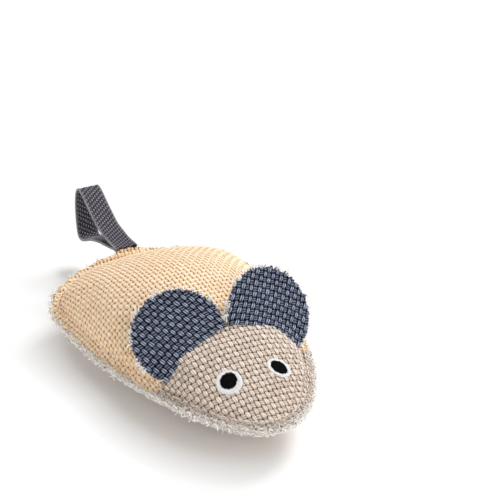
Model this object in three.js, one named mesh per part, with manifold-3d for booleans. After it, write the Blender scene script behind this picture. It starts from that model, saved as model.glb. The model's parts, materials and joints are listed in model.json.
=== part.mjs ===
// A canvas cat toy in the shape of a mouse: a stuffed pillow body with a raw fringed hem,
// a separate head panel, two cloth ears caught in the head seam, sewn eyes and a webbing tail loop.
// Millimetres. X runs to the nose, Y to the animal's left, Z up. The origin is the middle of the
// small flat on the belly that the toy rests on.

import * as THREE from 'three';
import { mergeVertices } from 'three/addons/utils/BufferGeometryUtils.js';
import Module from 'manifold-3d';

const wasm = await Module();
wasm.setup();

// Cloth, thread and the gap left between touching pieces
const canvas = 1;
const clearance = 0.3;
const threadDiameter = 0.7;

// Body outline seen from above: a short round rear and a long taper to the nose
const bodyLength = 138;
const bodyWidth = 90.4;
const widestShare = 0.22;
const restShare = 0.475;
const outlinePower = 1.85;
const outlineRoundPower = 0.492;
const hemWidth = 4.5;
const hemDroop = 2;

// Swell of the pillow over and under the seam
const crownHeight = 21.4;
const crownForm = { leanPower: 0.8, fullPower: 0.9, roundPower: 0.555 };
const bellyDepth = 19.6;
const bellyForm = { leanPower: 0.93, fullPower: 0.8, roundPower: 0.56 };
const restFlatDepth = 0.5;

// The seam rises towards the tail and drops towards the nose
const tailRise = 6.6;
const noseDrop = 3.2;
const tailRiseShare = 0.4;
const noseDropShare = 0.4;

// Head seam, a blunt arrowhead across the back, and the thread that lies in it
const headSeamShare = 0.684;
const headSeamSweep = 6.2;
const headSeamBowPower = 0.8;
const headSeamTipShare = 0.1;
const headSeamGap = threadDiameter + 2 * clearance;
const headThreadReachShare = 0.86;

// Ears, each a segment of a disc
const earRadius = 17.4;
const earCentreRise = 6.4;
const earTipShare = 0.93;
const earBowPower = 1.5;
const earInnerShare = 0.105;
const earOuterShare = 0.865;
const earRootDepth = 5;
const earRestDegrees = { left: 55, right: 42 };
const earLowDegrees = 24;
const earHighDegrees = 118;
const earStopCount = 9;

// Sewn eyes
const eyeDiameter = 9.5;
const pupilDiameter = 6.7;
const eyeThickness = 0.8;
const pupilCrown = 0.2;
const eyeStationShare = 0.845;
const eyeSpacing = 20.6;

// Webbing tail, a loop whose two ends are caught in the rear seam
const webbingWidth = 10;
const webbingThickness = 1.2;
const tailReach = 43;
const tailHeight = 25;
const tailShares = [
  [-0.10, 0.02], [-0.24, 0.05], [-0.42, 0.12], [-0.62, 0.30], [-0.80, 0.49], [-0.90, 0.535],
  [-0.965, 0.42], [-1, 0.14], [-0.995, -0.20], [-0.965, -0.41], [-0.90, -0.455], [-0.80, -0.40],
  [-0.62, -0.27], [-0.42, -0.17], [-0.24, -0.11], [-0.10, -0.06],
];
const tailSplitShare = 0.24;

// Fill: wadding with a pocket that holds a small pouch of dried catnip
const pouchLength = 36;
const pouchWidth = 26;
const pouchThickness = 9;
const pouchForm = { fullPower: 0.4, squarePower: 0.6 };
const pouchStationShare = 0.42;
const pouchDrop = 2;

// Stitching
const stitchPitch = 4.5;
const stitchInset = 3.2;
const stitchRise = 0.35;
const closingInset = 1.6;
const closingLength = 26;
const closingAngleDegrees = 143;

// Fineness of the surfaces
const aroundCount = 48;
const ringShares = [0.22, 0.42, 0.58, 0.72, 0.83, 0.91, 0.965, 1];
const headSeamStepCount = 28;
const earColumnCount = 10;
const earRowCount = 8;
const eyeAroundCount = 24;
const tailStepCount = 60;
const tailRootStepCount = 8;
const pouchRowCount = 9;
const pouchAroundCount = 24;
const outlineSampleCount = 384;
const threadSideCount = 4;
const threadCurveCount = 3;
const seamThreadStepCount = 24;

// How dull each cloth and thread is
const clothRoughness = 0.95;
const threadRoughness = 0.8;
const eyeRoughness = 0.65;

const rearX = -restShare * bodyLength;
const noseX = rearX + bodyLength;
const widestX = rearX + widestShare * bodyLength;
const middleX = rearX + bodyLength / 2;
const headSeamMiddleX = rearX + headSeamShare * bodyLength;
const halfGap = clearance / 2;
const seamLevel = halfGap + canvas + bellyDepth - restFlatDepth;
const headSeamHalf = halfWidthAt(headSeamMiddleX, hemWidth);
const tailHingeX = rearX - webbingThickness - clearance;
const tailHingeZ = seamHeight(rearX);
const overrun = hemWidth;

const colours = {
  sand: 0xf0dcb4,
  taupe: 0xb29a90,
  navy: 0x3f4a5e,
  greige: 0xb9b2a8,
  webbing: 0x4c4a50,
  cream: 0xece6da,
  black: 0x17161a,
  white: 0xf4f3ef,
  wadding: 0xf2f0ea,
  muslin: 0xd8cfae,
};

function clothMaterial(colour, roughness = clothRoughness) {
  return new THREE.MeshStandardMaterial({ color: colour, roughness, metalness: 0 });
}

function clamp01(value) {
  return Math.min(Math.max(value, 0), 1);
}

// How far the hem hangs below the seam: nothing at the swell, most at the raw edge, and nothing
// where the webbing tail holds it up
function droopAt(inset, x, y) {
  const held = x < widestX ? Math.exp(-((y / webbingWidth) ** 2)) : 0;
  return hemDroop * (1 - held) * (1 - Math.min(inset / hemWidth, 1));
}

// Half of the body's width at a station, for an outline set in from the raw edge
function halfWidthAt(x, inset) {
  const reach = x > widestX ? noseX - widestX - inset : widestX - rearX - inset;
  const share = clamp01(Math.abs(x - widestX) / reach);
  return (bodyWidth / 2 - inset) * (1 - share ** outlinePower) ** outlineRoundPower;
}

// Point of the outline at an angle from the nose, set in from the raw edge
function outlinePoint(angle, inset) {
  const along = Math.cos(angle);
  const across = Math.sin(angle);
  const reach = along > 0 ? noseX - widestX - inset : widestX - rearX - inset;
  return new THREE.Vector2(
    widestX + Math.sign(along) * reach * Math.abs(along) ** (2 / outlinePower),
    Math.sign(across) * (bodyWidth / 2 - inset) * Math.abs(across) ** (2 * outlineRoundPower),
  );
}

// Height of the seam between the upper and lower covers
function seamHeight(x) {
  const share = (x - rearX) / bodyLength;
  const rearPart = Math.max(tailRiseShare - share, 0) / tailRiseShare;
  const frontPart = Math.max(share - 1 + noseDropShare, 0) / noseDropShare;
  return seamLevel + tailRise * rearPart ** 2 - noseDrop * frontPart ** 2;
}

// Height of a swell over its own inset outline
function swell(x, y, inset, height, form) {
  const station = clamp01((x - rearX - inset) / (bodyLength - 2 * inset));
  const half = halfWidthAt(x, inset);
  const side = half > 0 ? clamp01(Math.abs(y) / half) : 1;
  const along = Math.abs(Math.sin(Math.PI * station ** form.leanPower)) ** form.fullPower;
  return height * along * (1 - side * side) ** form.roundPower;
}

// Outer face of the upper cover, over the swell
function topHeight(x, y) {
  return seamHeight(x) + halfGap + canvas + swell(x, y, hemWidth, crownHeight, crownForm);
}

function topNormal(x, y) {
  const step = halfGap;
  const slopeX = (topHeight(x + step, y) - topHeight(x - step, y)) / (2 * step);
  const slopeY = (topHeight(x, y + step) - topHeight(x, y - step)) / (2 * step);
  return new THREE.Vector3(-slopeX, -slopeY, 1).normalize();
}

function topPoint(x, y) {
  return new THREE.Vector3(x, y, topHeight(x, y));
}

// Rings of points from the middle outwards, each ring a share of the inset outline
function domeRings(inset, heightAt, shares = ringShares) {
  return shares.map((share) => Array.from({ length: aroundCount }, (_, index) => {
    const edge = outlinePoint(2 * Math.PI * index / aroundCount, inset);
    const x = middleX + share * (edge.x - middleX);
    const y = share * edge.y;
    return new THREE.Vector3(x, y, heightAt(x, y, share));
  }));
}

// Closed skin through a row of rings that all have as many points. It ends in a point beyond the
// first and the last ring, in their middles unless the points are given, or joins up into a loop.
function loftGeometry(rings, { closed = false, ends = [] } = {}) {
  const count = rings[0].length;
  const positions = [];
  const indices = [];
  rings.forEach((ring) => ring.forEach((point) => positions.push(point.x, point.y, point.z)));
  const last = closed ? rings.length : rings.length - 1;
  for (let row = 0; row < last; row += 1) {
    const next = (row + 1) % rings.length;
    for (let index = 0; index < count; index += 1) {
      const after = (index + 1) % count;
      const a = row * count + index;
      const b = row * count + after;
      const c = next * count + after;
      const d = next * count + index;
      indices.push(a, b, c, a, c, d);
    }
  }
  if (!closed) {
    [[0, true], [rings.length - 1, false]].forEach(([row, first]) => {
      const middle = ends[first ? 0 : 1] ?? ringMiddle(rings[row]);
      const centre = positions.length / 3;
      positions.push(middle.x, middle.y, middle.z);
      for (let index = 0; index < count; index += 1) {
        const a = row * count + index;
        const b = row * count + (index + 1) % count;
        indices.push(...(first ? [centre, b, a] : [centre, a, b]));
      }
    });
  }
  return outwardGeometry(positions, indices);
}

function ringMiddle(ring) {
  const sum = ring.reduce((total, point) => total.add(point), new THREE.Vector3());
  return sum.divideScalar(ring.length);
}

// Turns every face outwards, going by the sign of the volume
function outwardGeometry(positions, indices) {
  const corner = (index) => new THREE.Vector3().fromArray(positions, 3 * index);
  let volume = 0;
  for (let index = 0; index < indices.length; index += 3) {
    const [a, b, c] = [0, 1, 2].map((offset) => corner(indices[index + offset]));
    volume += a.dot(b.cross(c));
  }
  if (volume < 0) indices.reverse();
  const geometry = new THREE.BufferGeometry();
  geometry.setAttribute('position', new THREE.Float32BufferAttribute(positions, 3));
  geometry.setIndex(indices);
  return geometry;
}

function toSolid(geometry) {
  const bare = geometry.clone();
  bare.deleteAttribute('normal');
  bare.deleteAttribute('uv');
  const merged = mergeVertices(bare);
  return new wasm.Manifold(new wasm.Mesh({
    numProp: 3,
    vertProperties: new Float32Array(merged.attributes.position.array),
    triVerts: new Uint32Array(merged.index.array),
  }));
}

function toGeometry(solid) {
  const mesh = solid.getMesh();
  const geometry = new THREE.BufferGeometry();
  geometry.setAttribute('position', new THREE.Float32BufferAttribute(mesh.vertProperties, 3));
  geometry.setIndex(Array.from(mesh.triVerts));
  return geometry;
}

function makeMesh(name, geometry, material) {
  geometry.computeVertexNormals();
  const mesh = new THREE.Mesh(geometry, material);
  mesh.name = name;
  return mesh;
}

// Cover with a domed middle and a flat hem, on the upper or the lower side of the seam
function coverSolid(side, height, form) {
  const heightAt = (x, y, inset, offset, rim) =>
    seamHeight(x) + side * (offset + (rim ? 0 : swell(x, y, inset, height, form)));
  const face = (inset, offset) => domeRings(inset, (x, y, share) =>
    heightAt(x, y, inset, offset, share === 1));
  const ends = [[hemWidth, halfGap + canvas], [hemWidth + canvas, halfGap]].map(([inset, offset]) =>
    new THREE.Vector3(middleX, 0, heightAt(middleX, 0, inset, offset, false)));
  const edge = (offset) => domeRings(0, (x, y) =>
    seamHeight(x) - droopAt(0, x, y) + side * offset, [1]);
  const outer = face(hemWidth, halfGap + canvas);
  const inner = face(hemWidth + canvas, halfGap).reverse();
  const rings = [...outer, ...edge(halfGap + canvas), ...edge(halfGap), ...inner];
  return toSolid(loftGeometry(rings, { ends }));
}

// Prism that keeps what lies in front of the head seam, or behind it
function headSeamPrism(front) {
  const reach = bodyWidth / 2 + overrun;
  const shift = (front ? 1 : -1) * headSeamGap / 2;
  const end = front ? noseX + overrun : rearX - overrun;
  const depth = seamLevel + tailRise + canvas + crownHeight + overrun;
  const shape = new THREE.Shape();
  shape.moveTo(end, -reach);
  for (let step = 0; step <= headSeamStepCount; step += 1) {
    const y = reach * (2 * step / headSeamStepCount - 1);
    shape.lineTo(headSeamX(y) + shift, y);
  }
  shape.lineTo(end, reach);
  return toSolid(new THREE.ExtrudeGeometry(shape, { depth, bevelEnabled: false }));
}

function headSeamX(y) {
  const share = y / headSeamHalf;
  const bow = (share ** 2 + headSeamTipShare ** 2) ** (headSeamBowPower / 2);
  return headSeamMiddleX + headSeamSweep * (bow - headSeamTipShare ** headSeamBowPower);
}

// Point of the upper cover on the head seam, at a share of the way to the hem
function headSeamPoint(share) {
  const y = share * headSeamHalf;
  return topPoint(headSeamX(y), y);
}

// Box that trims the belly to the flat that the toy rests on
function belowFloor() {
  const geometry = new THREE.BoxGeometry(bodyLength, bodyWidth, 2 * overrun);
  geometry.translate(middleX, 0, -overrun);
  return toSolid(geometry);
}

function covers() {
  const upper = coverSolid(1, crownHeight, crownForm);
  const lower = coverSolid(-1, bellyDepth, bellyForm).subtract(belowFloor());
  const back = upper.intersect(headSeamPrism(false));
  const head = upper.intersect(headSeamPrism(true));
  return [
    makeMesh('back_cover', toGeometry(back), clothMaterial(colours.sand)),
    makeMesh('head_cover', toGeometry(head), clothMaterial(colours.taupe)),
    makeMesh('belly_cover', toGeometry(lower), clothMaterial(colours.taupe)),
  ];
}

// Little pillow with an oblong outline
function pouchRings() {
  const station = rearX + pouchStationShare * bodyLength;
  const middleZ = pouchFloor() + pouchThickness / 2;
  const squared = (value) => Math.sign(value) * Math.abs(value) ** pouchForm.squarePower;
  return Array.from({ length: pouchRowCount }, (_, row) => {
    const tilt = Math.PI * (2 * row + 1 - pouchRowCount) / (2 * pouchRowCount);
    const spread = Math.cos(tilt) ** pouchForm.fullPower;
    return Array.from({ length: pouchAroundCount }, (_unused, index) => {
      const angle = 2 * Math.PI * index / pouchAroundCount;
      return new THREE.Vector3(
        station + pouchLength / 2 * squared(Math.cos(angle)) * spread,
        pouchWidth / 2 * squared(Math.sin(angle)) * spread,
        middleZ + pouchThickness / 2 * Math.sin(tilt),
      );
    });
  });
}

function pouchFloor() {
  return seamLevel - pouchThickness / 2 - pouchDrop;
}

// Straight-sided pocket in the wadding, open upwards, that the pouch lies in
function pocketSolid() {
  const halfLength = pouchLength / 2 + clearance;
  const halfWidth = pouchWidth / 2 + clearance;
  const shape = new THREE.Shape();
  shape.moveTo(-halfLength, -halfWidth);
  shape.lineTo(halfLength, -halfWidth);
  shape.lineTo(halfLength, halfWidth);
  shape.lineTo(-halfLength, halfWidth);
  const depth = crownHeight + pouchThickness + pouchDrop;
  const geometry = new THREE.ExtrudeGeometry(shape, { depth, bevelEnabled: false });
  geometry.translate(rearX + pouchStationShare * bodyLength, 0, pouchFloor() - clearance);
  return toSolid(geometry);
}

// Wadding that fills both covers, a clearance inside them
function fill() {
  const inset = hemWidth + canvas + clearance;
  const heightAt = (x, y, side, height, form) =>
    seamHeight(x) + side * swell(x, y, inset, height - halfGap, form);
  const half = (side, height, form) => domeRings(inset, (x, y, share) =>
    (share < 1 ? heightAt(x, y, side, height, form) : seamHeight(x)));
  const top = half(1, crownHeight, crownForm);
  const bottom = half(-1, bellyDepth, bellyForm).reverse().slice(1);
  const ends = [[1, crownHeight, crownForm], [-1, bellyDepth, bellyForm]].map((values) =>
    new THREE.Vector3(middleX, 0, heightAt(middleX, 0, ...values)));
  const trim = belowFloor().translate([0, 0, canvas - restFlatDepth + clearance]);
  const pillow = toSolid(loftGeometry([...top, ...bottom], { ends }));
  const wadding = pillow.subtract(trim).subtract(pocketSolid());
  return [
    makeMesh('stuffing', toGeometry(wadding), clothMaterial(colours.wadding)),
    makeMesh('catnip_pouch', loftGeometry(pouchRings()), clothMaterial(colours.muslin)),
  ];
}

// Place and directions of an ear: its hinge lies along the seam, through the top of the seam's bow
function earFrame(side) {
  const sign = side === 'left' ? 1 : -1;
  const inner = headSeamPoint(sign * earInnerShare);
  const outer = headSeamPoint(sign * earOuterShare);
  const along = outer.clone().sub(inner).normalize();
  const flat = new THREE.Vector3(-1, 0, 0);
  flat.addScaledVector(along, -flat.dot(along)).normalize();
  const upright = along.clone().cross(flat);
  if (upright.z < 0) upright.negate();
  const tilt = THREE.MathUtils.degToRad(earRestDegrees[side]);
  const rise = flat.clone().multiplyScalar(Math.cos(tilt)).addScaledVector(upright, Math.sin(tilt));
  const front = flat.clone().multiplyScalar(-Math.sin(tilt)).addScaledVector(upright, Math.cos(tilt));
  const middle = inner.clone().add(outer).divideScalar(2);
  const crest = headSeamPoint(sign * (earInnerShare + earOuterShare) / 2);
  const bow = crest.clone().sub(middle);
  bow.addScaledVector(along, -bow.dot(along));
  return { sign, along, rise, front, middle, bow };
}

// Rows of points on an ear, bowed at the root and flat at the tip
function earRow(frame, rowShare, offset) {
  const low = -earRootDepth;
  const high = earCentreRise + earRadius;
  const height = low + (high - low) * Math.sin(rowShare * earTipShare * Math.PI / 2);
  const round = Math.sqrt(earRadius ** 2 - Math.max(height - earCentreRise, -earCentreRise) ** 2);
  const bowShare = clamp01(1 - height / high) ** earBowPower;
  return Array.from({ length: earColumnCount + 1 }, (_, column) => {
    const across = 2 * column / earColumnCount - 1;
    const point = frame.middle.clone().addScaledVector(frame.along, across * round);
    point.addScaledVector(frame.rise, height);
    point.addScaledVector(frame.bow, (1 - across * across) * bowShare);
    return point.addScaledVector(frame.front, offset);
  });
}

function earLayer(frame, near, far) {
  const rings = Array.from({ length: earRowCount + 1 }, (_, row) => [
    ...earRow(frame, row / earRowCount, near),
    ...earRow(frame, row / earRowCount, far).reverse(),
  ]);
  return loftGeometry(rings);
}

// The body grown by a clearance, which trims the foot of each ear
function grownBody() {
  const rise = canvas + halfGap + clearance;
  const upper = domeRings(hemWidth, (x, y) => topHeight(x, y) + clearance);
  const crest = new THREE.Vector3(middleX, 0, topHeight(middleX, 0) + clearance);
  const edge = domeRings(0, (x, y) => seamHeight(x) - droopAt(0, x, y) + rise, [1]);
  const floor = domeRings(0, (x) => seamHeight(x) - bellyDepth, [1]);
  return toSolid(loftGeometry([...upper, ...edge, ...floor], { ends: [crest] }));
}

// Turns a solid about an ear's hinge line
function turnAbout(solid, frame, degrees) {
  const pivot = frame.middle.clone().add(frame.bow);
  const turn = new THREE.Matrix4().makeTranslation(pivot)
    .multiply(new THREE.Matrix4().makeRotationAxis(frame.along, THREE.MathUtils.degToRad(degrees)))
    .multiply(new THREE.Matrix4().makeTranslation(pivot.clone().negate()));
  return solid.transform(turn.elements);
}

// Two layers of cloth, cut at the foot so that they clear the body at every angle
function ear(side) {
  const frame = earFrame(side);
  const body = grownBody();
  const reach = earHighDegrees - earLowDegrees;
  const stops = Array.from({ length: earStopCount }, (_, index) =>
    earLowDegrees + reach * index / (earStopCount - 1) - earRestDegrees[side]);
  const trimmed = (layer) => stops.reduce((solid, degrees) =>
    solid.subtract(turnAbout(body, frame, -frame.sign * degrees)), toSolid(layer));
  const frontLayer = trimmed(earLayer(frame, halfGap, halfGap + canvas));
  const backLayer = trimmed(earLayer(frame, -halfGap - canvas, -halfGap));
  return [
    makeMesh(`ear_${side}_front`, toGeometry(frontLayer), clothMaterial(colours.navy)),
    makeMesh(`ear_${side}_back`, toGeometry(backLayer), clothMaterial(colours.greige)),
  ];
}

// Patch of thread on the head that follows its curve, between two radii
function eyePatch(side, innerRadius, outerRadius) {
  const x = rearX + eyeStationShare * bodyLength;
  const y = side * eyeSpacing / 2;
  const centre = topPoint(x, y);
  const normal = topNormal(x, y);
  const forward = new THREE.Vector3(1, 0, 0).addScaledVector(normal, -normal.x).normalize();
  const sideways = normal.clone().cross(forward);
  const ring = (radius, lift) => Array.from({ length: eyeAroundCount }, (_, index) => {
    const angle = 2 * Math.PI * index / eyeAroundCount;
    const point = centre.clone().addScaledVector(forward, radius * Math.cos(angle));
    point.addScaledVector(sideways, radius * Math.sin(angle));
    point.addScaledVector(normal, (topHeight(point.x, point.y) - point.z) * normal.z);
    return point.addScaledVector(normal, lift);
  });
  const low = clearance;
  const high = clearance + eyeThickness;
  if (innerRadius > 0) {
    const inner = [ring(innerRadius, low), ring(innerRadius, high)];
    const outer = [ring(outerRadius, high), ring(outerRadius, low)];
    return loftGeometry([...inner, ...outer], { closed: true });
  }
  const under = [ring(outerRadius / 2, low), ring(outerRadius, low)];
  const over = [ring(outerRadius, high), ring(outerRadius / 2, high + pupilCrown)];
  return loftGeometry([...under, ...over]);
}

function eyes() {
  return [['left', 1], ['right', -1]].flatMap(([name, side]) => {
    const white = eyePatch(side, pupilDiameter / 2 + halfGap, eyeDiameter / 2);
    const pupil = eyePatch(side, 0, pupilDiameter / 2 - halfGap);
    return [
      makeMesh(`eye_${name}_white`, white, clothMaterial(colours.white, eyeRoughness)),
      makeMesh(`eye_${name}_pupil`, pupil, clothMaterial(colours.black, eyeRoughness)),
    ];
  });
}

// Side view of the webbing: out of the seam, round the loop and back, with a round root
function tailLoop() {
  const points = tailShares.map(([reachShare, heightShare]) =>
    new THREE.Vector2(reachShare * tailReach, heightShare * tailHeight));
  points.unshift(new THREE.Vector2(0, webbingThickness / 2));
  points.push(new THREE.Vector2(0, -webbingThickness / 2));
  const line = new THREE.SplineCurve(points).getPoints(tailStepCount);
  const offset = (distance) => line.map((point, index) => {
    const before = line[Math.max(index - 1, 0)];
    const after = line[Math.min(index + 1, line.length - 1)];
    const way = after.clone().sub(before).normalize();
    return new THREE.Vector2(point.x + way.y * distance, point.y - way.x * distance);
  });
  const outside = offset(webbingThickness / 2);
  const inside = offset(-webbingThickness / 2);
  const split = -tailSplitShare * tailReach;
  const shape = new THREE.Shape();
  shape.setFromPoints(outside.slice(1, -1));
  shape.absarc(0, 0, webbingThickness, -Math.PI / 2, Math.PI / 2, false);
  shape.holes.push(new THREE.Path().setFromPoints(inside.filter((point) => point.x < split)));
  const geometry = new THREE.ExtrudeGeometry(shape, {
    depth: webbingWidth, bevelEnabled: false, curveSegments: tailRootStepCount,
  });
  geometry.translate(0, 0, -webbingWidth / 2);
  geometry.rotateX(Math.PI / 2);
  const mesh = makeMesh('tail_loop', toGeometry(toSolid(geometry)), clothMaterial(colours.webbing));
  mesh.position.set(tailHingeX, 0, tailHingeZ);
  return mesh;
}

// Thread that rises and dips with each stitch, as one unbroken ring round the hem
function edgeStitch(side) {
  const inset = stitchInset;
  const radius = threadDiameter / 2;
  const turns = 2 * Math.PI;
  const samples = Array.from({ length: outlineSampleCount }, (_, index) =>
    outlinePoint(turns * index / outlineSampleCount, inset));
  const outline = new THREE.Path().setFromPoints([...samples, samples[0]]);
  const count = 2 * Math.round(outline.getLength() / stitchPitch);
  const spots = outline.getSpacedPoints(count).slice(0, count);
  const base = halfGap + canvas + clearance + radius;
  const centres = spots.map((spot, index) => new THREE.Vector3(spot.x, spot.y,
    seamHeight(spot.x) - droopAt(inset, spot.x, spot.y) + side * (base + (index % 2) * stitchRise)));
  const rings = centres.map((centre, index) => {
    const after = centres[(index + 1) % count];
    const before = centres[(index + count - 1) % count];
    const way = after.clone().sub(before).setZ(0).normalize();
    const outward = new THREE.Vector3(way.y, -way.x, 0);
    return Array.from({ length: threadSideCount }, (_, corner) => {
      const angle = turns * corner / threadSideCount;
      const point = centre.clone().addScaledVector(outward, radius * Math.cos(angle));
      return point.setZ(point.z + radius * Math.sin(angle));
    });
  });
  return loftGeometry(rings, { closed: true });
}

// Round thread swept along a row of points
function threadAlong(points) {
  const radius = threadDiameter / 2;
  const section = new THREE.Shape().absarc(0, 0, radius, 0, 2 * Math.PI, false);
  const path = new THREE.CatmullRomCurve3(points);
  return new THREE.ExtrudeGeometry(section, {
    extrudePath: path,
    steps: 2 * points.length,
    bevelEnabled: false,
    curveSegments: threadCurveCount,
  });
}

// Row of hand stitches that shut the hem where the toy was stuffed
function closingStitch() {
  const stitches = Math.round(closingLength / stitchPitch);
  const start = THREE.MathUtils.degToRad(closingAngleDegrees);
  const sweep = closingLength / (bodyWidth / 2);
  const base = halfGap + canvas + clearance + threadDiameter / 2;
  const points = Array.from({ length: 2 * stitches + 1 }, (_, index) => {
    const angle = start + sweep * (index - stitches) / (2 * stitches);
    const spot = outlinePoint(angle, closingInset);
    const rise = base + (index % 2) * stitchRise;
    const droop = droopAt(closingInset, spot.x, spot.y);
    return new THREE.Vector3(spot.x, spot.y, seamHeight(spot.x) - droop + rise);
  });
  return threadAlong(points);
}

function headSeamThread() {
  const points = Array.from({ length: seamThreadStepCount + 1 }, (_, index) => {
    const share = headThreadReachShare * (2 * index / seamThreadStepCount - 1);
    const point = headSeamPoint(share);
    return point.setZ(point.z - canvas / 2);
  });
  return threadAlong(points);
}

function threads() {
  const cream = () => clothMaterial(colours.cream, threadRoughness);
  return [
    makeMesh('edge_stitch_upper', edgeStitch(1), cream()),
    makeMesh('edge_stitch_lower', edgeStitch(-1), cream()),
    makeMesh('closing_stitch', toGeometry(toSolid(closingStitch())), cream()),
    makeMesh('head_seam_thread', toGeometry(toSolid(headSeamThread())), cream()),
  ];
}

const toy = new THREE.Group();
toy.name = 'mouse_cat_toy';
toy.add(...covers());
toy.add(...fill());
toy.add(...ear('left'));
toy.add(...ear('right'));
toy.add(...eyes());
toy.add(tailLoop());
toy.add(...threads());

export default toy;
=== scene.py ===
# A stuffed canvas mouse: woven covers over a plumped body, a frayed hem, cloth ears, satin-stitched
# eyes and a webbing tail. Metres, X to the nose, Y to the animal's left, Z up.

import json
import math

import bpy
import numpy as np
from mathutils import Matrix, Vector
from mathutils.bvhtree import BVHTree


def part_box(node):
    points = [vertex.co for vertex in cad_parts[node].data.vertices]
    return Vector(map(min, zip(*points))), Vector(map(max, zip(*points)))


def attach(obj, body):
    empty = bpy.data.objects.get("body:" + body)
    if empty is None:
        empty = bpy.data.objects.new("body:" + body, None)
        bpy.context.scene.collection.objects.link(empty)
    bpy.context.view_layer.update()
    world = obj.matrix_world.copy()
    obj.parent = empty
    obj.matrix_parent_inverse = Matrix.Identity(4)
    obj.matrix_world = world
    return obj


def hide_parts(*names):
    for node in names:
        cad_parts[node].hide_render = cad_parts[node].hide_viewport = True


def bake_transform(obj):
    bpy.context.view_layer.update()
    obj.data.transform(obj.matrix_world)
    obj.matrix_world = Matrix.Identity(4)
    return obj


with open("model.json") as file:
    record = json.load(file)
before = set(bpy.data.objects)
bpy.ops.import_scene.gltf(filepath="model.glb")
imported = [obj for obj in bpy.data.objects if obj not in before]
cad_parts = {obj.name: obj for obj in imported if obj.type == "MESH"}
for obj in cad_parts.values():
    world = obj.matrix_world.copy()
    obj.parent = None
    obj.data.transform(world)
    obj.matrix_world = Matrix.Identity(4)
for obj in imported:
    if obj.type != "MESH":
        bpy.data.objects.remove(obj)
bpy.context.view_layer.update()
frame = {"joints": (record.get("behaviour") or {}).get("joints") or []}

MM = 0.001

# Body outline and swell, as the solids have them
REAR_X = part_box("belly_cover")[0].x
NOSE_X, HALF_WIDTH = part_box("belly_cover")[1][:2]
BODY_LENGTH = NOSE_X - REAR_X
MIDDLE_X = (REAR_X + NOSE_X) / 2
WIDEST_X = REAR_X + 0.22 * BODY_LENGTH
OUTLINE_POWER = 1.85
ROUND_POWER = 0.492
HEM_WIDTH = 4.5 * MM
HEM_DROOP = 2 * MM
SEAM_LEVEL = 20.25 * MM
TAIL_RISE = 6.6 * MM
NOSE_DROP = 3.2 * MM
SLOPE_SHARE = 0.4
CROWN_HEIGHT = 21.4 * MM
CROWN_FORM = (0.8, 0.9, 0.555)
BELLY_DEPTH = 19.6 * MM
BELLY_FORM = (0.93, 0.8, 0.56)

# At the rear the dome falls off, and the seam is drawn down so that the hem stands up behind it
REAR_FALL = 0.5
REAR_FALL_REACH = 60 * MM
SEAM_DIP = 3.8 * MM
SEAM_DIP_REACH = 22 * MM

# The hem's waves (height, how many go round, start) and how it lifts round the webbing
HEM_WAVES = ((0.45 * MM, 19, 0.8), (0.35 * MM, 31, 2.1))
HEM_PINCH = 0.4
WEBBING_LIFT = 1.1 * MM

# The pillow's filling, and how far it may push the covers out, less at the rear and under the ears
PRESSURE = 40
SLACK = -0.014
PLUMPING_STEPS = 20
MOST_SWELL = 1.3 * MM
MOST_SINK = 0.2 * MM
REAR_CALM = 0.8
EAR_CALM = 0.6
SEAM_CALM = 0.4
DOME_LIFT = 0.3 * MM
EAR_DENT_DEPTH = 2.8 * MM
EAR_DENT_REACH = (9 * MM, 3.4 * MM)

# Cloth: yarn pitch across the warp and across the weft, and mesh points to one pitch
CLOTH_LEVEL = 0.6 * MM
CLOTH_THICKNESS = 0.8 * MM
RELIEF = 0.5 * MM
BODY_PITCH = (1.78 * MM, 2.45 * MM)
EAR_PITCH = (1.78 * MM, 2.6 * MM)
WEBBING_PITCH = (1.08 * MM, 1.12 * MM)
BODY_SAMPLES = (6, 7)
HEAD_SAMPLES = (8, 9)
BELLY_SAMPLES = (6, 5)
EAR_SAMPLES = (8, 9)
WEBBING_SAMPLES = (6, 6)

# Half widths of the warp and weft yarns in shares of their pitch. A yarn leans a little as it crosses
# and is squeezed where it dives, and the warp stands higher than the weft.
YARN_HALVES = (0.48, 0.42)
YARN_LEAN = 0.07
YARN_ROUND = 3.0
WARP_SQUEEZE = 0.34
WEFT_SQUEEZE = 0.2
WARP_LEAD = 0.3
WEFT_LEVEL = 0.85
HOLE_DEPTH = -0.4
WEAVE_MIDDLE = 0.6

# How the yarns stray across and along: width of each wave in pitches, its turns along u and v, its start
STRAYS = (((0.04, 1.7, 0.13, 0), (0.035, 4.3, -0.21, 2), (0.05, 0.8, 0.5, 0)),
          ((0.04, 0.17, 1.9, 1), (0.035, -0.19, 4.9, 4), (0.05, 0.6, -0.7, 0)))

# How far in from the hem's edge each cover is cut, and how ragged the cut is: depth, turns, start
COVER_INSET = 0.9 * MM
BELLY_INSET = 0.5 * MM
CUT_WAVES = ((0.3 * MM, 23, 1), (0.25 * MM, 57, 3))

# Head seam
HEAD_SEAM_X = REAR_X + 0.684 * BODY_LENGTH
HEAD_SEAM_SWEEP = 6.2 * MM
HEAD_SEAM_BOW_POWER = 0.8
HEAD_SEAM_TIP_SHARE = 0.1
SEAM_ROLL = 1.4 * MM
SEAM_GAP = 0.2 * MM
SEAM_STITCHES = 38

# Ears
EAR_RADIUS = 18.2 * MM
EAR_CENTRE_RISE = 7.4 * MM
EAR_INNER_SHARE = 0.105
EAR_OUTER_SHARE = 0.865
EAR_FOOT = 2.2 * MM
EAR_HIGH = EAR_CENTRE_RISE + EAR_RADIUS
EAR_BOW_POWER = 1.5
EAR_CUP = (0.8 * MM, 0.2 * MM)
EAR_RIPPLE = 0.25 * MM
EAR_RIPPLE_LENGTH = 3.1 * MM
EAR_LAYER_LEVEL = 0.62 * MM
EAR_REST_DEGREES = {"left": 55, "right": 42}
EAR_BEND = 6 * MM

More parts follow.
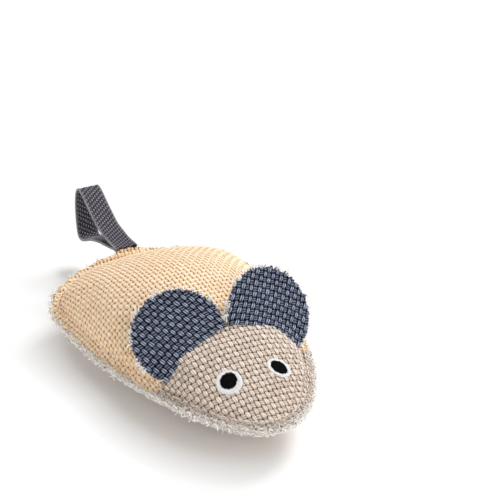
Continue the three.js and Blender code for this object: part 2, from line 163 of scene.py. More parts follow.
# How much white fray the inner and the outer side of each ear shows, and where its tufts start
EAR_FRAY = {"left": (1, 0.15), "right": (0.9, 0.9)}
EAR_TUFT_START = {"left": 1, "right": 4}
EAR_TRIM_INSET = 0.7 * MM
EAR_TRIM_LEVEL = 0.5 * MM

# Eyes: how far the ring and the pupil are drawn out slantwise, how far back the pupil sits in its ring,
# and which way its stitches run
EYE_X = REAR_X + 0.845 * BODY_LENGTH
EYE_SPACING = 20.6 * MM
EYE_RADIUS = 4.75 * MM
PUPIL_RADIUS = 3.15 * MM
EYE_LEVEL = 0.32 * MM
EYE_SIZE = {"left": 0.93, "right": 1.05}
EYE_STRETCH = {"left": (0.13, 0.13), "right": (-0.02, -0.09)}
PUPIL_BACK = {"left": 0, "right": 0.35 * MM}
PUPIL_SLANT_DEGREES = {"left": 35, "right": -20}
RING_STITCHES = 150
PUPIL_STITCHES = 27

# Webbing tail, its route in shares of its reach and height, out of the seam and back
WEBBING_WIDTH = 10 * MM
WEBBING_THICKNESS = 1.2 * MM
WEBBING_SLANT = 0.3
TAIL_INSIDE = 3 * MM
TAIL_REACH = 43 * MM
TAIL_HEIGHT = 25 * MM
TAIL_SAG = 1.7 * MM
TAIL_BEND = (1.5 * MM, -4 * MM)
SELVEDGE_TWIST = 2.1 * MM
TAIL_SHARES = [
    (-0.10, 0.02), (-0.24, 0.05), (-0.42, 0.12), (-0.62, 0.30), (-0.80, 0.49), (-0.90, 0.535),
    (-0.965, 0.42), (-1, 0.14), (-0.995, -0.20), (-0.965, -0.41), (-0.90, -0.455), (-0.80, -0.40),
    (-0.62, -0.27), (-0.42, -0.17), (-0.24, -0.11), (-0.10, -0.06),
]

# Filling: it lies a little inside the covers, with a pocket round the pouch
FILLING_ROOM = 1.6 * MM
FILLING_SCALE = 0.955
POCKET_ROOM = 0.5 * MM
MUSLIN_PITCH = 0.8 * MM

# Fineness of the body's surface before the weave
AROUND = 96
DOME_RINGS = np.concatenate([np.linspace(0.05, 0.6, 9), np.linspace(0.66, 0.9, 7),
                             [0.93, 0.955, 0.975, 0.99, 1.0]])
HEM_INSETS = HEM_WIDTH * np.array([0.75, 0.5, 0.25, 0])
REFINING = 3

# Stage: lamps as name, place, width and power, and the floor's shadow, which fades to white between two
# distances from the body and near the tail
CAMERA_PLACE = (0.46805, -0.22383, 0.31956)
CAMERA_AIM = (-0.08518, 0.07090, -0.0002)
CAMERA_LENS = 108.57
LAMPS = (("key", (-0.18, 0.62, 0.66), 0.35, 7.3), ("front_fill", (0.88, -0.05, 0.42), 0.7, 3.6),
         ("side_fill", (-0.3, -0.8, 0.35), 0.7, 2.2))
LAMP_AIM = (0, 0, 0.02)
SKY_LIGHT = 0.42
FLOOR_REACH = 6.0
SHADOW_EDGE = (0.036, 0.054)
SHADOW_AHEAD = 0.58
SHADOW_BEHIND = (2.4, 0.36)
SHADOW_WIDENING = -4.0
TAIL_SHADOW_EDGE = (0.012, 0.04)
WHITE = (1, 1, 1, 1)

dice = np.random.default_rng(20)


def normalised(vectors):
    return vectors / np.maximum(np.linalg.norm(vectors, axis=-1, keepdims=True), 1e-12)


def smooth_step(low, high, value):
    share = np.clip((value - low) / (high - low), 0, 1)
    return share * share * (3 - 2 * share)


def bell(away, reach):
    return np.exp(-(away / reach) ** 2)


def waves(turn, table):
    return sum(size * np.sin(count * turn + start) for size, count, start in table)


def angles(count):
    return 2 * np.pi * np.arange(count) / count


def distances(route):
    return np.concatenate([[0], np.cumsum(np.linalg.norm(np.diff(route, axis=0), axis=1))])


def half_length(ahead, inset):
    return np.where(ahead, NOSE_X - WIDEST_X, WIDEST_X - REAR_X) - inset


def half_width_at(x, inset):
    share = np.clip(np.abs(x - WIDEST_X) / half_length(x > WIDEST_X, inset), 0, 1)
    return (HALF_WIDTH - inset) * (1 - share ** OUTLINE_POWER) ** ROUND_POWER


def outline_point(angle, inset):
    along, across = np.cos(angle), np.sin(angle)
    x = WIDEST_X + np.sign(along) * half_length(along > 0, inset) * np.abs(along) ** (2 / OUTLINE_POWER)
    y = np.sign(across) * (HALF_WIDTH - inset) * np.abs(across) ** (2 * ROUND_POWER)
    return x, y


def seam_height(x):
    share = (x - REAR_X) / BODY_LENGTH
    rear = np.maximum(SLOPE_SHARE - share, 0) / SLOPE_SHARE
    front = np.maximum(share - 1 + SLOPE_SHARE, 0) / SLOPE_SHARE
    return SEAM_LEVEL + TAIL_RISE * rear ** 2 - NOSE_DROP * front ** 2


def seam_dip(x):
    return SEAM_DIP * bell(x - REAR_X, SEAM_DIP_REACH)


# The hem droops towards its edge, but for where the webbing holds it up
def hem_height(x, y, inset):
    held = np.where(x < WIDEST_X, bell(y, WEBBING_WIDTH), 0)
    droop = HEM_DROOP * (1 - held) * (1 - np.minimum(inset / HEM_WIDTH, 1))
    return seam_height(x) - droop - seam_dip(x) * inset / HEM_WIDTH


def swell(x, y, height, form):
    lean, full, power = form
    station = np.clip((x - REAR_X - HEM_WIDTH) / (BODY_LENGTH - 2 * HEM_WIDTH), 0, 1)
    half = np.maximum(half_width_at(x, HEM_WIDTH), 1e-9)
    side = np.clip(np.abs(y) / half, 0, 1)
    return height * np.abs(np.sin(np.pi * station ** lean)) ** full * (1 - side * side) ** power


SEAM_HALF = float(half_width_at(HEAD_SEAM_X, HEM_WIDTH))


def head_seam_x(y):
    bow = ((y / SEAM_HALF) ** 2 + HEAD_SEAM_TIP_SHARE ** 2) ** (HEAD_SEAM_BOW_POWER / 2)
    return HEAD_SEAM_X + HEAD_SEAM_SWEEP * (bow - HEAD_SEAM_TIP_SHARE ** HEAD_SEAM_BOW_POWER)


# Rings of the domed part, from the middle out to the seam line
def dome_grid(side, height, form, level):
    edge_x, edge_y = outline_point(angles(AROUND), HEM_WIDTH)
    share = DOME_RINGS[:, None]
    x = MIDDLE_X + share * (edge_x - MIDDLE_X)
    y = share * edge_y
    rise = swell(x, y, height, form) + DOME_LIFT * (1 - share ** 4)
    if side > 0:
        rise = rise * (1 - REAR_FALL * np.maximum(1 - (x - REAR_X) / REAR_FALL_REACH, 0) ** 2)
    rise = np.where(share < 1, rise, 0)
    return np.stack([x, y, seam_height(x) - seam_dip(x) * share ** 6 + side * (level + rise)], -1)


# Rings of the flat hem, from the seam line out to the raw edge
def hem_grid(side, level):
    rings = []
    turn = angles(AROUND)
    for inset in HEM_INSETS:
        x, y = outline_point(turn, inset)
        outward = 1 - inset / HEM_WIDTH
        bulge = np.where(x < WIDEST_X, np.exp(-(y / (0.7 * WEBBING_WIDTH)) ** 4), 0)
        opened = level * (1 - HEM_PINCH * outward) + WEBBING_LIFT * bulge * min(1, 2.5 * outward)
        lift = side * opened + waves(turn, HEM_WAVES) * outward * (1 - bulge)
        rings.append(np.stack([x, y, hem_height(x, y, inset) + lift], -1))
    return np.array(rings)


# Faces between the closed rings of a grid, whose points count from start. turned ones face the other way.
def ring_faces(rings, around, start=0, turned=False):
    index = start + np.arange(rings * around).reshape(rings, around)
    after = np.roll(index, -1, axis=1)
    faces = np.stack([index[:-1], after[:-1], after[1:], index[1:]], -1).reshape(-1, 4)
    return faces[:, [0, 3, 2, 1]] if turned else faces


def fan_triangles(rings, around, centre):
    first = np.arange(around)
    fan = np.stack([np.full(around, centre), np.roll(first, -1), first], -1)
    return np.concatenate([ring_faces(rings, around)[:, [0, 1, 2, 0, 2, 3]].reshape(-1, 3), fan])


def vertex_normals(points, triangles):
    corner = points[triangles]
    face = np.cross(corner[:, 1] - corner[:, 0], corner[:, 2] - corner[:, 0])
    total = np.zeros_like(points)
    for k in range(3):
        np.add.at(total, triangles[:, k], face)
    return normalised(total)


# A closed cloth bag, held along some of its points, and where pressure moves it
def blown(points, triangles, held_points):
    mesh = bpy.data.meshes.new("bag")
    mesh.from_pydata(points.tolist(), [], triangles.tolist())
    bag = bpy.data.objects.new("bag", mesh)
    scene = bpy.context.scene
    scene.collection.objects.link(bag)
    bag.vertex_groups.new(name="held").add(held_points.tolist(), 1.0, "REPLACE")
    cloth = bag.modifiers.new("cloth", "CLOTH")
    cloth.settings.vertex_group_mass = "held"
    cloth.settings.use_pressure = True
    cloth.settings.uniform_pressure_force = PRESSURE
    cloth.settings.shrink_min = SLACK
    cloth.settings.effector_weights.gravity = 0
    cloth.collision_settings.use_collision = False
    for step in range(1, PLUMPING_STEPS + 1):
        scene.frame_set(step)
    moved = np.empty(points.size)
    bag.evaluated_get(bpy.context.evaluated_depsgraph_get()).to_mesh().vertices.foreach_get("co", moved)
    scene.frame_set(1)
    bpy.data.objects.remove(bag)
    bpy.data.meshes.remove(mesh)
    return moved.reshape(-1, 3)


# The covers blown up by the filling, and held back where they would swell or sink too far
def plumped(upper, lower):
    rings = len(DOME_RINGS)
    half, inner = rings * AROUND, (rings - 1) * AROUND
    start = np.concatenate([upper.reshape(-1, 3), lower[:-1].reshape(-1, 3),
                            [upper[0].mean(0)], [lower[0].mean(0)]])
    top = fan_triangles(rings, AROUND, len(start) - 2)[:, ::-1]
    below = np.concatenate([half + np.arange(inner), np.arange(inner, half), [len(start) - 1]])
    bottom = below[fan_triangles(rings, AROUND, half)]
    shift = blown(start, np.concatenate([top, bottom]), np.arange(inner, half)) - start
    facing = normalised(vertex_normals(start, top) + vertex_normals(start, bottom))
    out = (shift * facing).sum(1, keepdims=True)
    shift += facing * (np.maximum(out, -MOST_SINK) - out)
    share = np.concatenate([np.repeat(DOME_RINGS, AROUND), np.repeat(DOME_RINGS[:-1], AROUND), [0, 0]])
    x = start[:, :1]
    most = MOST_SWELL * (1 - REAR_CALM * bell(x - REAR_X, REAR_FALL_REACH)
                         - EAR_CALM * bell(x - HEAD_SEAM_X + EAR_RADIUS / 2, EAR_RADIUS))
    most = np.minimum(most, SEAM_CALM * (1 - share[:, None]) * HALF_WIDTH)
    shift *= np.minimum(1, most / np.maximum(np.linalg.norm(shift, axis=1, keepdims=True), 1e-9))
    moved = start + shift
    lower_rings = moved[half:-2].reshape(rings - 1, AROUND, 3)
    return moved[:half].reshape(upper.shape), np.concatenate([lower_rings, lower[-1:]])


# Flat cutting plan of a curved cloth: every triangle keeps its shape as nearly as it can
def cutting_plan(points, triangles, unrolled, turns=30, pulls=45):
    corner = points[triangles]
    edge_a, edge_b = corner[:, 1] - corner[:, 0], corner[:, 2] - corner[:, 0]
    along = np.linalg.norm(edge_a, axis=1)
    across = (edge_a * edge_b).sum(1) / along
    height = np.sqrt(np.maximum((edge_b ** 2).sum(1) - across ** 2, 1e-14))
    flat = np.zeros((len(triangles), 3, 2))
    flat[:, 1, 0], flat[:, 2, 0], flat[:, 2, 1] = along, across, -height
    count = len(points)
    here, there = triangles.T.ravel(), np.roll(triangles, -1, axis=1).T.ravel()
    rest = (flat - np.roll(flat, -1, axis=1)).swapaxes(0, 1).reshape(-1, 2)
    weights = []
    for k in range(3):
        p, q = flat[:, k] - flat[:, k - 1], flat[:, (k + 1) % 3] - flat[:, k - 1]
        turn = np.abs(p[:, 0] * q[:, 1] - p[:, 1] * q[:, 0])
        weights.append(np.clip((p * q).sum(1) / np.maximum(turn, 1e-14), 0.02, 20))
    weight = np.concatenate(weights)[:, None]

    def gathered(pushes):
        return np.stack([np.bincount(here, pushes[:, k], count) - np.bincount(there, pushes[:, k], count)
                         for k in range(2)], -1)

    shared = (np.bincount(here, weight[:, 0], count) + np.bincount(there, weight[:, 0], count))[:, None]
    plan = unrolled.copy()
    for _ in range(turns):
        spread = ((weight * (plan[here] - plan[there]))[:, :, None] * rest[:, None, :])
        spread = spread.reshape(3, -1, 2, 2).sum(0)
        angle = np.arctan2(spread[:, 1, 0] - spread[:, 0, 1], spread[:, 0, 0] + spread[:, 1, 1])
        cos, sin = np.tile(np.cos(angle), 3), np.tile(np.sin(angle), 3)
        turned = np.stack([cos * rest[:, 0] - sin * rest[:, 1], sin * rest[:, 0] + cos * rest[:, 1]], -1)
        left = gathered(weight * turned) - gathered(weight * (plan[here] - plan[there]))
        way = left / shared
        power = (left * way).sum(0)
        for _ in range(pulls):
            pushed = gathered(weight * (way[here] - way[there]))
            step = power / np.maximum((way * pushed).sum(0), 1e-30)
            plan = plan + step * way
            left = left - step * pushed
            eased = left / shared
            fresh = (left * eased).sum(0)
            way = eased + fresh / np.maximum(power, 1e-30) * way
            power = fresh
    return plan - plan[-1] + unrolled[-1]


def spline_rows(grid, factor, closed):
    if closed:
        before, here, after, beyond = (np.roll(grid, k, 0) for k in (1, 0, -1, -2))
    else:
        padded = np.concatenate([[2 * grid[0] - grid[1]], grid, [2 * grid[-1] - grid[-2]]])
        before, here, after, beyond = padded[:-3], padded[1:-2], padded[2:-1], padded[3:]
    steps = []
    for k in range(factor):
        t = k / factor
        steps.append(0.5 * (2 * here + (after - before) * t
                            + (2 * before - 5 * here + 4 * after - beyond) * t ** 2
                            + (3 * here - before - 3 * after + beyond) * t ** 3))
    fine = np.stack(steps, 1).reshape(-1, *grid.shape[1:])
    return fine if closed else np.concatenate([fine, grid[-1:]])


def refined(grid):
    rows = spline_rows(grid, REFINING, closed=False)
    return spline_rows(rows.swapaxes(0, 1), REFINING, closed=True).swapaxes(0, 1)


class Skin:
    """A curved cloth, its flat cutting plan, and the way from a spot on the plan to the cloth."""

    def __init__(self, dome, hem, side):
        middle = dome[0].mean(0)
        coarse = np.concatenate([dome.reshape(-1, 3), [middle]])
        triangles = fan_triangles(*dome.shape[:2], len(coarse) - 1)
        steps = np.diff(np.concatenate([np.broadcast_to(middle, dome[:1].shape), dome]), axis=0)
        steps = np.linalg.norm(steps, axis=-1)
        spokes = np.cumsum(steps, axis=0)[..., None] * normalised(dome[..., :2] - middle[:2])
        unrolled = np.concatenate([(middle[:2] + spokes).reshape(-1, 2), [middle[:2]]])
        plan = cutting_plan(coarse, triangles, unrolled)[:-1].reshape(*dome.shape[:2], 2)
        edge = plan[-1]
        ahead = normalised(sum(np.roll(edge, -k, 0) - np.roll(edge, k, 0) for k in (1, 2, 3)))
        outward = np.stack([ahead[:, 1], -ahead[:, 0]], -1)
        widths = np.linalg.norm(np.diff(np.concatenate([dome[-1:], hem]), axis=0), axis=-1)
        plan = np.concatenate([plan, edge + outward * np.cumsum(widths, axis=0)[..., None]])
        fine, fine_plan = refined(np.concatenate([dome, hem])), refined(plan)
        self.points = np.concatenate([fine.reshape(-1, 3), [fine[0].mean(0)]])
        self.plan = np.concatenate([fine_plan.reshape(-1, 2), [fine_plan[0].mean(0)]])
        self.triangles = fan_triangles(*fine.shape[:2], len(self.points) - 1)
        normals = vertex_normals(self.points, self.triangles)
        self.normals = normals if side * normals[-1, 2] > 0 else -normals
        flat = np.column_stack([self.plan, np.zeros(len(self.plan))])
        self.plan_tree = BVHTree.FromPolygons(flat.tolist(), self.triangles.tolist())
        self.tree = BVHTree.FromPolygons(self.points.tolist(), self.triangles.tolist())
        self.low, self.high = self.plan.min(0), self.plan.max(0)
        self.side = side

    def at_plan(self, spots):
        down = Vector((0, 0, -1))
        cast = self.plan_tree.ray_cast

        def triangle_at(x, y):
            for slip in (0, 0.002 * MM):
                hit = cast(Vector((x + slip, y + 0.7 * slip, 1)), down)[2]
                if hit is not None:
                    return hit
            return -1

        found = np.array([triangle_at(x, y) for x, y in spots.tolist()])
        inside = found >= 0
        corners = self.triangles[np.where(inside, found, 0)]
        a, b, c = (self.plan[corners[:, k]] for k in range(3))
        ab, ac, to = b - a, c - a, spots - a
        turn = ab[:, 0] * ac[:, 1] - ab[:, 1] * ac[:, 0]
        turn = np.where(np.abs(turn) < 1e-16, 1e-16, turn)
        share_b = (to[:, 0] * ac[:, 1] - to[:, 1] * ac[:, 0]) / turn
        share_c = (ab[:, 0] * to[:, 1] - ab[:, 1] * to[:, 0]) / turn
        shares = np.stack([1 - share_b - share_c, share_b, share_c], -1)[..., None]
        point = (self.points[corners] * shares).sum(1)
        return point, normalised((self.normals[corners] * shares).sum(1)), inside

    def over(self, spots):
        """Points and normals of the cloth above or below spots on the ground."""
        hits = [self.tree.ray_cast(Vector((x, y, self.side)), Vector((0, 0, -self.side)))[:2]
                for x, y in spots]
        points, normals = np.array([hit[0] for hit in hits]), np.array([hit[1] for hit in hits])
        return points, normals * np.sign(normals[:, 2:] * self.side)


# Plain weave in units of its own pitch. Warp yarns run along v and weft yarns along u, each over and
# under in turn, and where neither lies there is a small hole.
def weave_height(u, v):
    part_u, part_v = u - np.floor(u) - 0.5, v - np.floor(v) - 0.5
    over = 2 * np.mod(np.floor(u) + np.floor(v), 2) - 1

    def yarn(across, half, along, way, squeeze):
        crest = way * np.cos(np.pi * along)
        off = across - YARN_LEAN * way * np.sin(np.pi * along)
        slim = half * (1 - squeeze / 2 * (1 - crest))
        width = np.sqrt(np.maximum(1 - np.abs(off / slim) ** YARN_ROUND, 0))
        return 0.5 * crest + 0.5 * width - 2 * (width == 0)

    warp = yarn(part_u, YARN_HALVES[0], part_v, over, WARP_SQUEEZE) + WARP_LEAD
    weft = yarn(part_v, YARN_HALVES[1], part_u, -over, WEFT_SQUEEZE)
    return np.maximum(np.maximum(warp, WEFT_LEVEL * weft), HOLE_DEPTH)


# Yarns never lie quite straight: how far a spot of the cloth wanders, in units of the pitch
def wander(units):
    u, v = units.T
    return np.stack([sum(size * np.sin(by_u * u + by_v * v + start) for size, by_u, by_v, start in table)
                     for table in STRAYS], -1)


def new_piece(name, points, faces, material, cloth=None):
    mesh = bpy.data.meshes.new(name)
    mesh.from_pydata(points.reshape(-1, 3).tolist(), [], faces if isinstance(faces, list) else faces.tolist())
    mesh.materials.append(material)
    mesh.polygons.foreach_set("use_smooth", np.ones(len(mesh.polygons), bool))
    if cloth is not None:
        layer = mesh.attributes.new("cloth", "FLOAT_VECTOR", "POINT")
        layer.data.foreach_set("vector", cloth.astype(np.float32).ravel())
    piece = bpy.data.objects.new(name, mesh)
    bpy.context.scene.collection.objects.link(piece)
    return piece


# Hides the solid that a piece stands for. A piece without a bend is hung on the body, and one with a bend has
# its place baked into its points. A bend is the moving part's name, where the bend starts and where it ends;
# the code only checks whether a bend is given.
def declare(piece, stands_for=None, bend=None):
    if stands_for:
        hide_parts(stands_for)
    if bend is None:
        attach(piece, "body")
    else:
        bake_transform(piece)


# A woven sheet over any surface that a flat plan leads to. keep says which spots are cloth, sink how
# far the cloth dips there, and the cut edges are closed by a skirt as deep as the cloth.
def woven_sheet(name, place, low, high, pitch, samples, material, keep, sink=None, relief=RELIEF,
                stray=1.0):
    first = np.floor(np.array(low) / pitch)
    cells = (np.ceil(np.array(high) / pitch) - first).astype(int)
    ways = [first[k] + np.arange(cells[k] * samples[k] + 1) / samples[k] for k in range(2)]
    grid = np.stack(np.meshgrid(*ways, indexing="ij"), -1)
    units = grid.reshape(-1, 2)
    spots = (units + stray * wander(units)) * np.array(pitch)
    point, normal, inside = place(spots)
    good = inside & keep(point, spots)
    lift = relief * (weave_height(units[:, 0], units[:, 1]) - WEAVE_MIDDLE)
    if sink is not None:
        lift = lift - sink(point)
    point = point + normal * lift[:, None]
    index = np.arange(len(units)).reshape(grid.shape[:2])
    a, b, c, d = index[:-1, :-1], index[1:, :-1], index[1:, 1:], index[:-1, 1:]
    whole = good[a] & good[b] & good[c] & good[d]
    quads = np.stack([a, b, c, d], -1)[whole]
    padded = np.pad(whole, 1)
    rims = []
    for (du, dv), (p, q) in {(-1, 0): (d, a), (1, 0): (b, c), (0, -1): (a, b), (0, 1): (c, d)}.items():
        other = padded[1 + du:1 + du + whole.shape[0], 1 + dv:1 + dv + whole.shape[1]]
        rim = whole & ~other
        rims.append(np.stack([p[rim], q[rim]], -1))
    rims = np.concatenate(rims)
    edge = np.unique(rims)
    below = np.full(len(units), -1)
    below[edge] = len(units) + np.arange(len(edge))
    point = np.concatenate([point, point[edge] - normal[edge] * CLOTH_THICKNESS])
    cloth = np.concatenate([units, units[edge]])
    skirt = np.stack([rims[:, 1], rims[:, 0], below[rims[:, 0]], below[rims[:, 1]]], -1)
    faces = np.concatenate([quads, skirt])
    used = np.unique(faces)
    renumber = np.zeros(len(point), int)
    renumber[used] = np.arange(len(used))
    piece = new_piece(name, point[used], renumber[faces], material, np.pad(cloth[used], ((0, 0), (0, 1))))
    middle = quads[len(quads) // 2]
    corner = point[middle]
    if np.cross(corner[1] - corner[0], corner[3] - corner[0]) @ normal[middle[0]] < 0:
        piece.data.flip_normals()
    return piece


# Many round yarns as one mesh: routes is strands by points by three
def yarns(name, routes, radii, material, sides=4):
    points, faces, cloth = [], [], []
    start = 0
    turn = angles(sides)
    for route, radius in zip(routes, radii):
        count = len(route)
        way = normalised(np.gradient(route, axis=0))
        side = normalised(np.cross(way, [0.21, 0.13, 0.97]))
        rise = np.cross(side, way)
        ring = np.cos(turn)[:, None, None] * side + np.sin(turn)[:, None, None] * rise
        taper = np.full(count, float(radius))
        taper[-1] *= 0.55
        points.append((route + ring * taper[:, None]).swapaxes(0, 1).reshape(-1, 3))
        cloth.append(np.stack([np.broadcast_to(turn / (2 * np.pi), (count, sides)),
                               np.broadcast_to(distances(route)[:, None] / MM, (count, sides)),
                               np.full((count, sides), start * 0.137 % 97)], -1).reshape(-1, 3))
        faces.append(ring_faces(count, sides, start))
        if sides == 4:
            ends = start + np.arange(sides)
            faces.append(np.stack([ends[::-1], ends + (count - 1) * sides]))
        start += count * sides
    return new_piece(name, np.concatenate(points), np.concatenate(faces), material, np.concatenate(cloth))


def srgb(red, green, blue):
    shares = np.array([red, green, blue]) / 255
    linear = np.where(shares <= 0.04045, shares / 12.92, ((shares + 0.055) / 1.055) ** 2.4)
    return (*linear.tolist(), 1.0)


def wire(tree, value, socket):
    if isinstance(value, Signal):
        tree.links.new(value.socket, socket)
    else:
        socket.default_value = value


# A new node with its settings and inputs. It gives the named output, or a list of all of them.
def add_node(tree, kind, given=(), result=0, **settings):
    node = tree.nodes.new("ShaderNode" + kind)
    for name, setting in settings.items():
        setattr(node, name, setting)
    for socket, value in dict(given).items():
        wire(tree, value, node.inputs[socket])
    if result is None:
        return [Signal(tree, socket) for socket in node.outputs]
    return Signal(tree, node.outputs[result])


class Signal:
    """A value in a node tree. It takes part in plain sums, with other values and with numbers."""

    def __init__(self, tree, socket):
        self.tree, self.socket = tree, socket

    def calc(self, operation, *others, clamp=False):
        return add_node(self.tree, "Math", enumerate((self, *others)), operation=operation, use_clamp=clamp)

    def __add__(self, other):
        return self.calc("ADD", other)

    def __sub__(self, other):
        return self.calc("SUBTRACT", other)

    def __rsub__(self, other):
        return add_node(self.tree, "Math", enumerate((other, self)), operation="SUBTRACT")

    def __mul__(self, other):
        return self.calc("MULTIPLY", other)

    def __truediv__(self, other):
        return self.calc("DIVIDE", other)

    def __pow__(self, other):
        return self.calc("POWER", other)

    def __abs__(self):
        return self.calc("ABSOLUTE")

    def ranged(self, low, high, to_low=0.0, to_high=1.0):
        return add_node(self.tree, "MapRange", enumerate((self, low, high, to_low, to_high)))

    def mixed(self, first, second, blend="MIX"):
        given = {0: self, 6: first, 7: second}
        return add_node(self.tree, "Mix", given, 2, data_type="RGBA", blend_type=blend)

    def noise(self, scale=1.0, detail=2.0, rough=0.5):
        given = {"Vector": self, "Scale": scale, "Detail": detail, "Roughness": rough}
        return add_node(self.tree, "TexNoise", given)

    def chance(self):
        return add_node(self.tree, "TexWhiteNoise", {"Vector": self}, "Value")

    def parts(self):
        return add_node(self.tree, "SeparateXYZ", {0: self}, None)


def vector(x, y, z=0.0):
    return add_node(x.tree, "CombineXYZ", enumerate((x, y, z)))


def new_group(name, vectors, numbers, results):
    group = bpy.data.node_groups.new(name, "ShaderNodeTree")
    for way, labels, kind in (("INPUT", vectors, "Vector"), ("INPUT", numbers, "Float"),
                              ("OUTPUT", results, "Float")):
        for label in labels:
            group.interface.new_socket(label, in_out=way, socket_type="NodeSocket" + kind)
    given = group.nodes.new("NodeGroupInput").outputs
    return group, [Signal(group, given[label]) for label in (*vectors, *numbers)]


def finished(group, *values):
    made = group.nodes.new("NodeGroupOutput")
    for value, socket in zip(values, made.inputs):
        wire(group, value, socket)
    return group


# The same weave drawn from the cloth's own flat plan: which yarn is on top, how high a spot of it lies,
# the painted shade in the creases, holes and flanks between yarns, its two strands and fibres, and how one
# float differs from the next
def weave_group():
    group, (cloth, warp_half, weft_half) = new_group(
        "plain_weave", ["Cloth"], ["Warp Half", "Weft Half"],
        ["Warp", "Crest", "Painted Shade", "Tone", "Fibre", "Strand", "Height"])
    u, v, _ = cloth.parts()
    whole_u, whole_v = u.calc("FLOOR"), v.calc("FLOOR")
    part_u, part_v = u.calc("FRACT") - 0.5, v.calc("FRACT") - 0.5
    odd = ((whole_u + whole_v) * 0.5).calc("FRACT") * 2.0
    over = odd * 2.0 - 1.0
    ragged = vector(u * 5.0, v * 5.0).noise().ranged(0.25, 0.75, -0.12, 0.12)

    def yarn(across, half, along, way, squeeze):
        turn = along * math.pi
        crest = way * turn.calc("COSINE")
        slim = 1.0 - (1.0 - crest) * (squeeze / 2)
        off = (across - way * turn.calc("SINE") * YARN_LEAN) / (slim * half)
        width = (1.0 - abs(off) ** YARN_ROUND + ragged).calc("MAXIMUM", 0.0).calc("SQRT")
        return crest * 0.5 + width * 0.5 - width.calc("LESS_THAN", 0.02) * 2.0, width, off

    def fibres(by_u, by_v):
        return vector(u * by_u, v * by_v).noise(1.0, 3.0, 0.65)

    def strands(off, chance):
        return abs(((off + chance.ranged(0.0, 1.0, -0.12, 0.12)) * math.pi).calc("SINE"))

    warp_low, warp_width, warp_off = yarn(part_u, warp_half, part_v, over, WARP_SQUEEZE)
    weft_low, weft_width, weft_off = yarn(part_v, weft_half, part_u, over * -1.0, WEFT_SQUEEZE)
    warp, weft = warp_low + WARP_LEAD, weft_low * WEFT_LEVEL
    is_warp = warp.calc("GREATER_THAN", weft)
    crest = is_warp.mixed(weft_low, warp_low).ranged(0.1, 0.8)
    # Painted shade: dark lines where warp and weft meet, in the holes where neither lies, and on the flanks
    # of the top yarn
    crease_shade = abs(warp - weft).ranged(0.3, 0.0, 0.0, 0.6)
    hole_shade = warp_width.calc("MAXIMUM", weft_width).ranged(0.6, 0.15)
    flank_shade = is_warp.mixed(weft_width, warp_width).ranged(0.72, 0.15, 0.0, 0.9)
    painted_shade = crease_shade.calc("MAXIMUM", hole_shade).calc("MAXIMUM", flank_shade)

    float_v = whole_v + (1.0 - odd) * part_v.calc("SIGN")
    float_u = whole_u + odd * part_u.calc("SIGN")
    warp_chance = vector(whole_u, float_v, 1.0).chance()
    weft_chance = vector(float_u, whole_v, 7.0).chance()
    chance = is_warp.mixed(weft_chance, warp_chance)
    fibre = is_warp.mixed(fibres(2.0, 13.0), fibres(13.0, 2.0))
    strand = is_warp.mixed(strands(weft_off, weft_chance), strands(warp_off, warp_chance))
    same = vector(is_warp.mixed(whole_v, whole_u), is_warp, 3.0).chance()
    tone = chance * 0.65 + same * 0.35
    height = warp.calc("MAXIMUM", weft) + (strand * 0.4 + fibre * 0.3)
    return finished(group, is_warp, crest, painted_shade, tone, fibre, strand, height)


# Spun thread: twist stripes and loose fibres along a yarn
def thread_group():
    group, (thread_place, twist) = new_group("spun_thread", ["Thread"], ["Twist"], ["Ply", "Fibre", "Tone"])
    turn, along, number = thread_place.parts()
    ply = ((turn + along * twist) * (2 * math.pi)).calc("SINE").ranged(-1.0, 1.0)
    fibre = vector(turn * 6.0, along * 1.5, number).noise(1.0, 3.0, 0.6)
    return finished(group, ply, fibre, vector(number, 0.0).chance())


# Slow, uneven handling marks: a soft tone that drifts over the cloth
def handling_group():
    group, (size,) = new_group("handling", [], ["Size"], ["Tone"])
    place = add_node(group, "TexCoord", result="Object")
    return finished(group, place.noise(size, 3.0, 0.6).ranged(0.3, 0.7))


WEAVE = weave_group()
THREAD = thread_group()
HANDLING = handling_group()


def new_material(name, settings):
    material = bpy.data.materials.new(name)
    material.use_nodes = True
    shader = material.node_tree.nodes["Principled BSDF"]
    for label, value in settings.items():
        shader.inputs[label].default_value = value
    return material, material.node_tree, shader


# An effect placed in a material with its own values
def placed(tree, group, *values):
    return add_node(tree, "Group", enumerate(values), None, node_tree=group)


def cloth_place(tree):
    return add_node(tree, "Attribute", result="Vector", attribute_name="cloth")


def finish_material(shader, colour, roughness, height, depth, strength):
    tree = colour.tree
    normal = add_node(tree, "Bump", {"Height": height, "Distance": depth, "Strength": strength})
    for label, value in (("Base Color", colour), ("Roughness", roughness), ("Normal", normal)):
        wire(tree, value, shader.inputs[label])


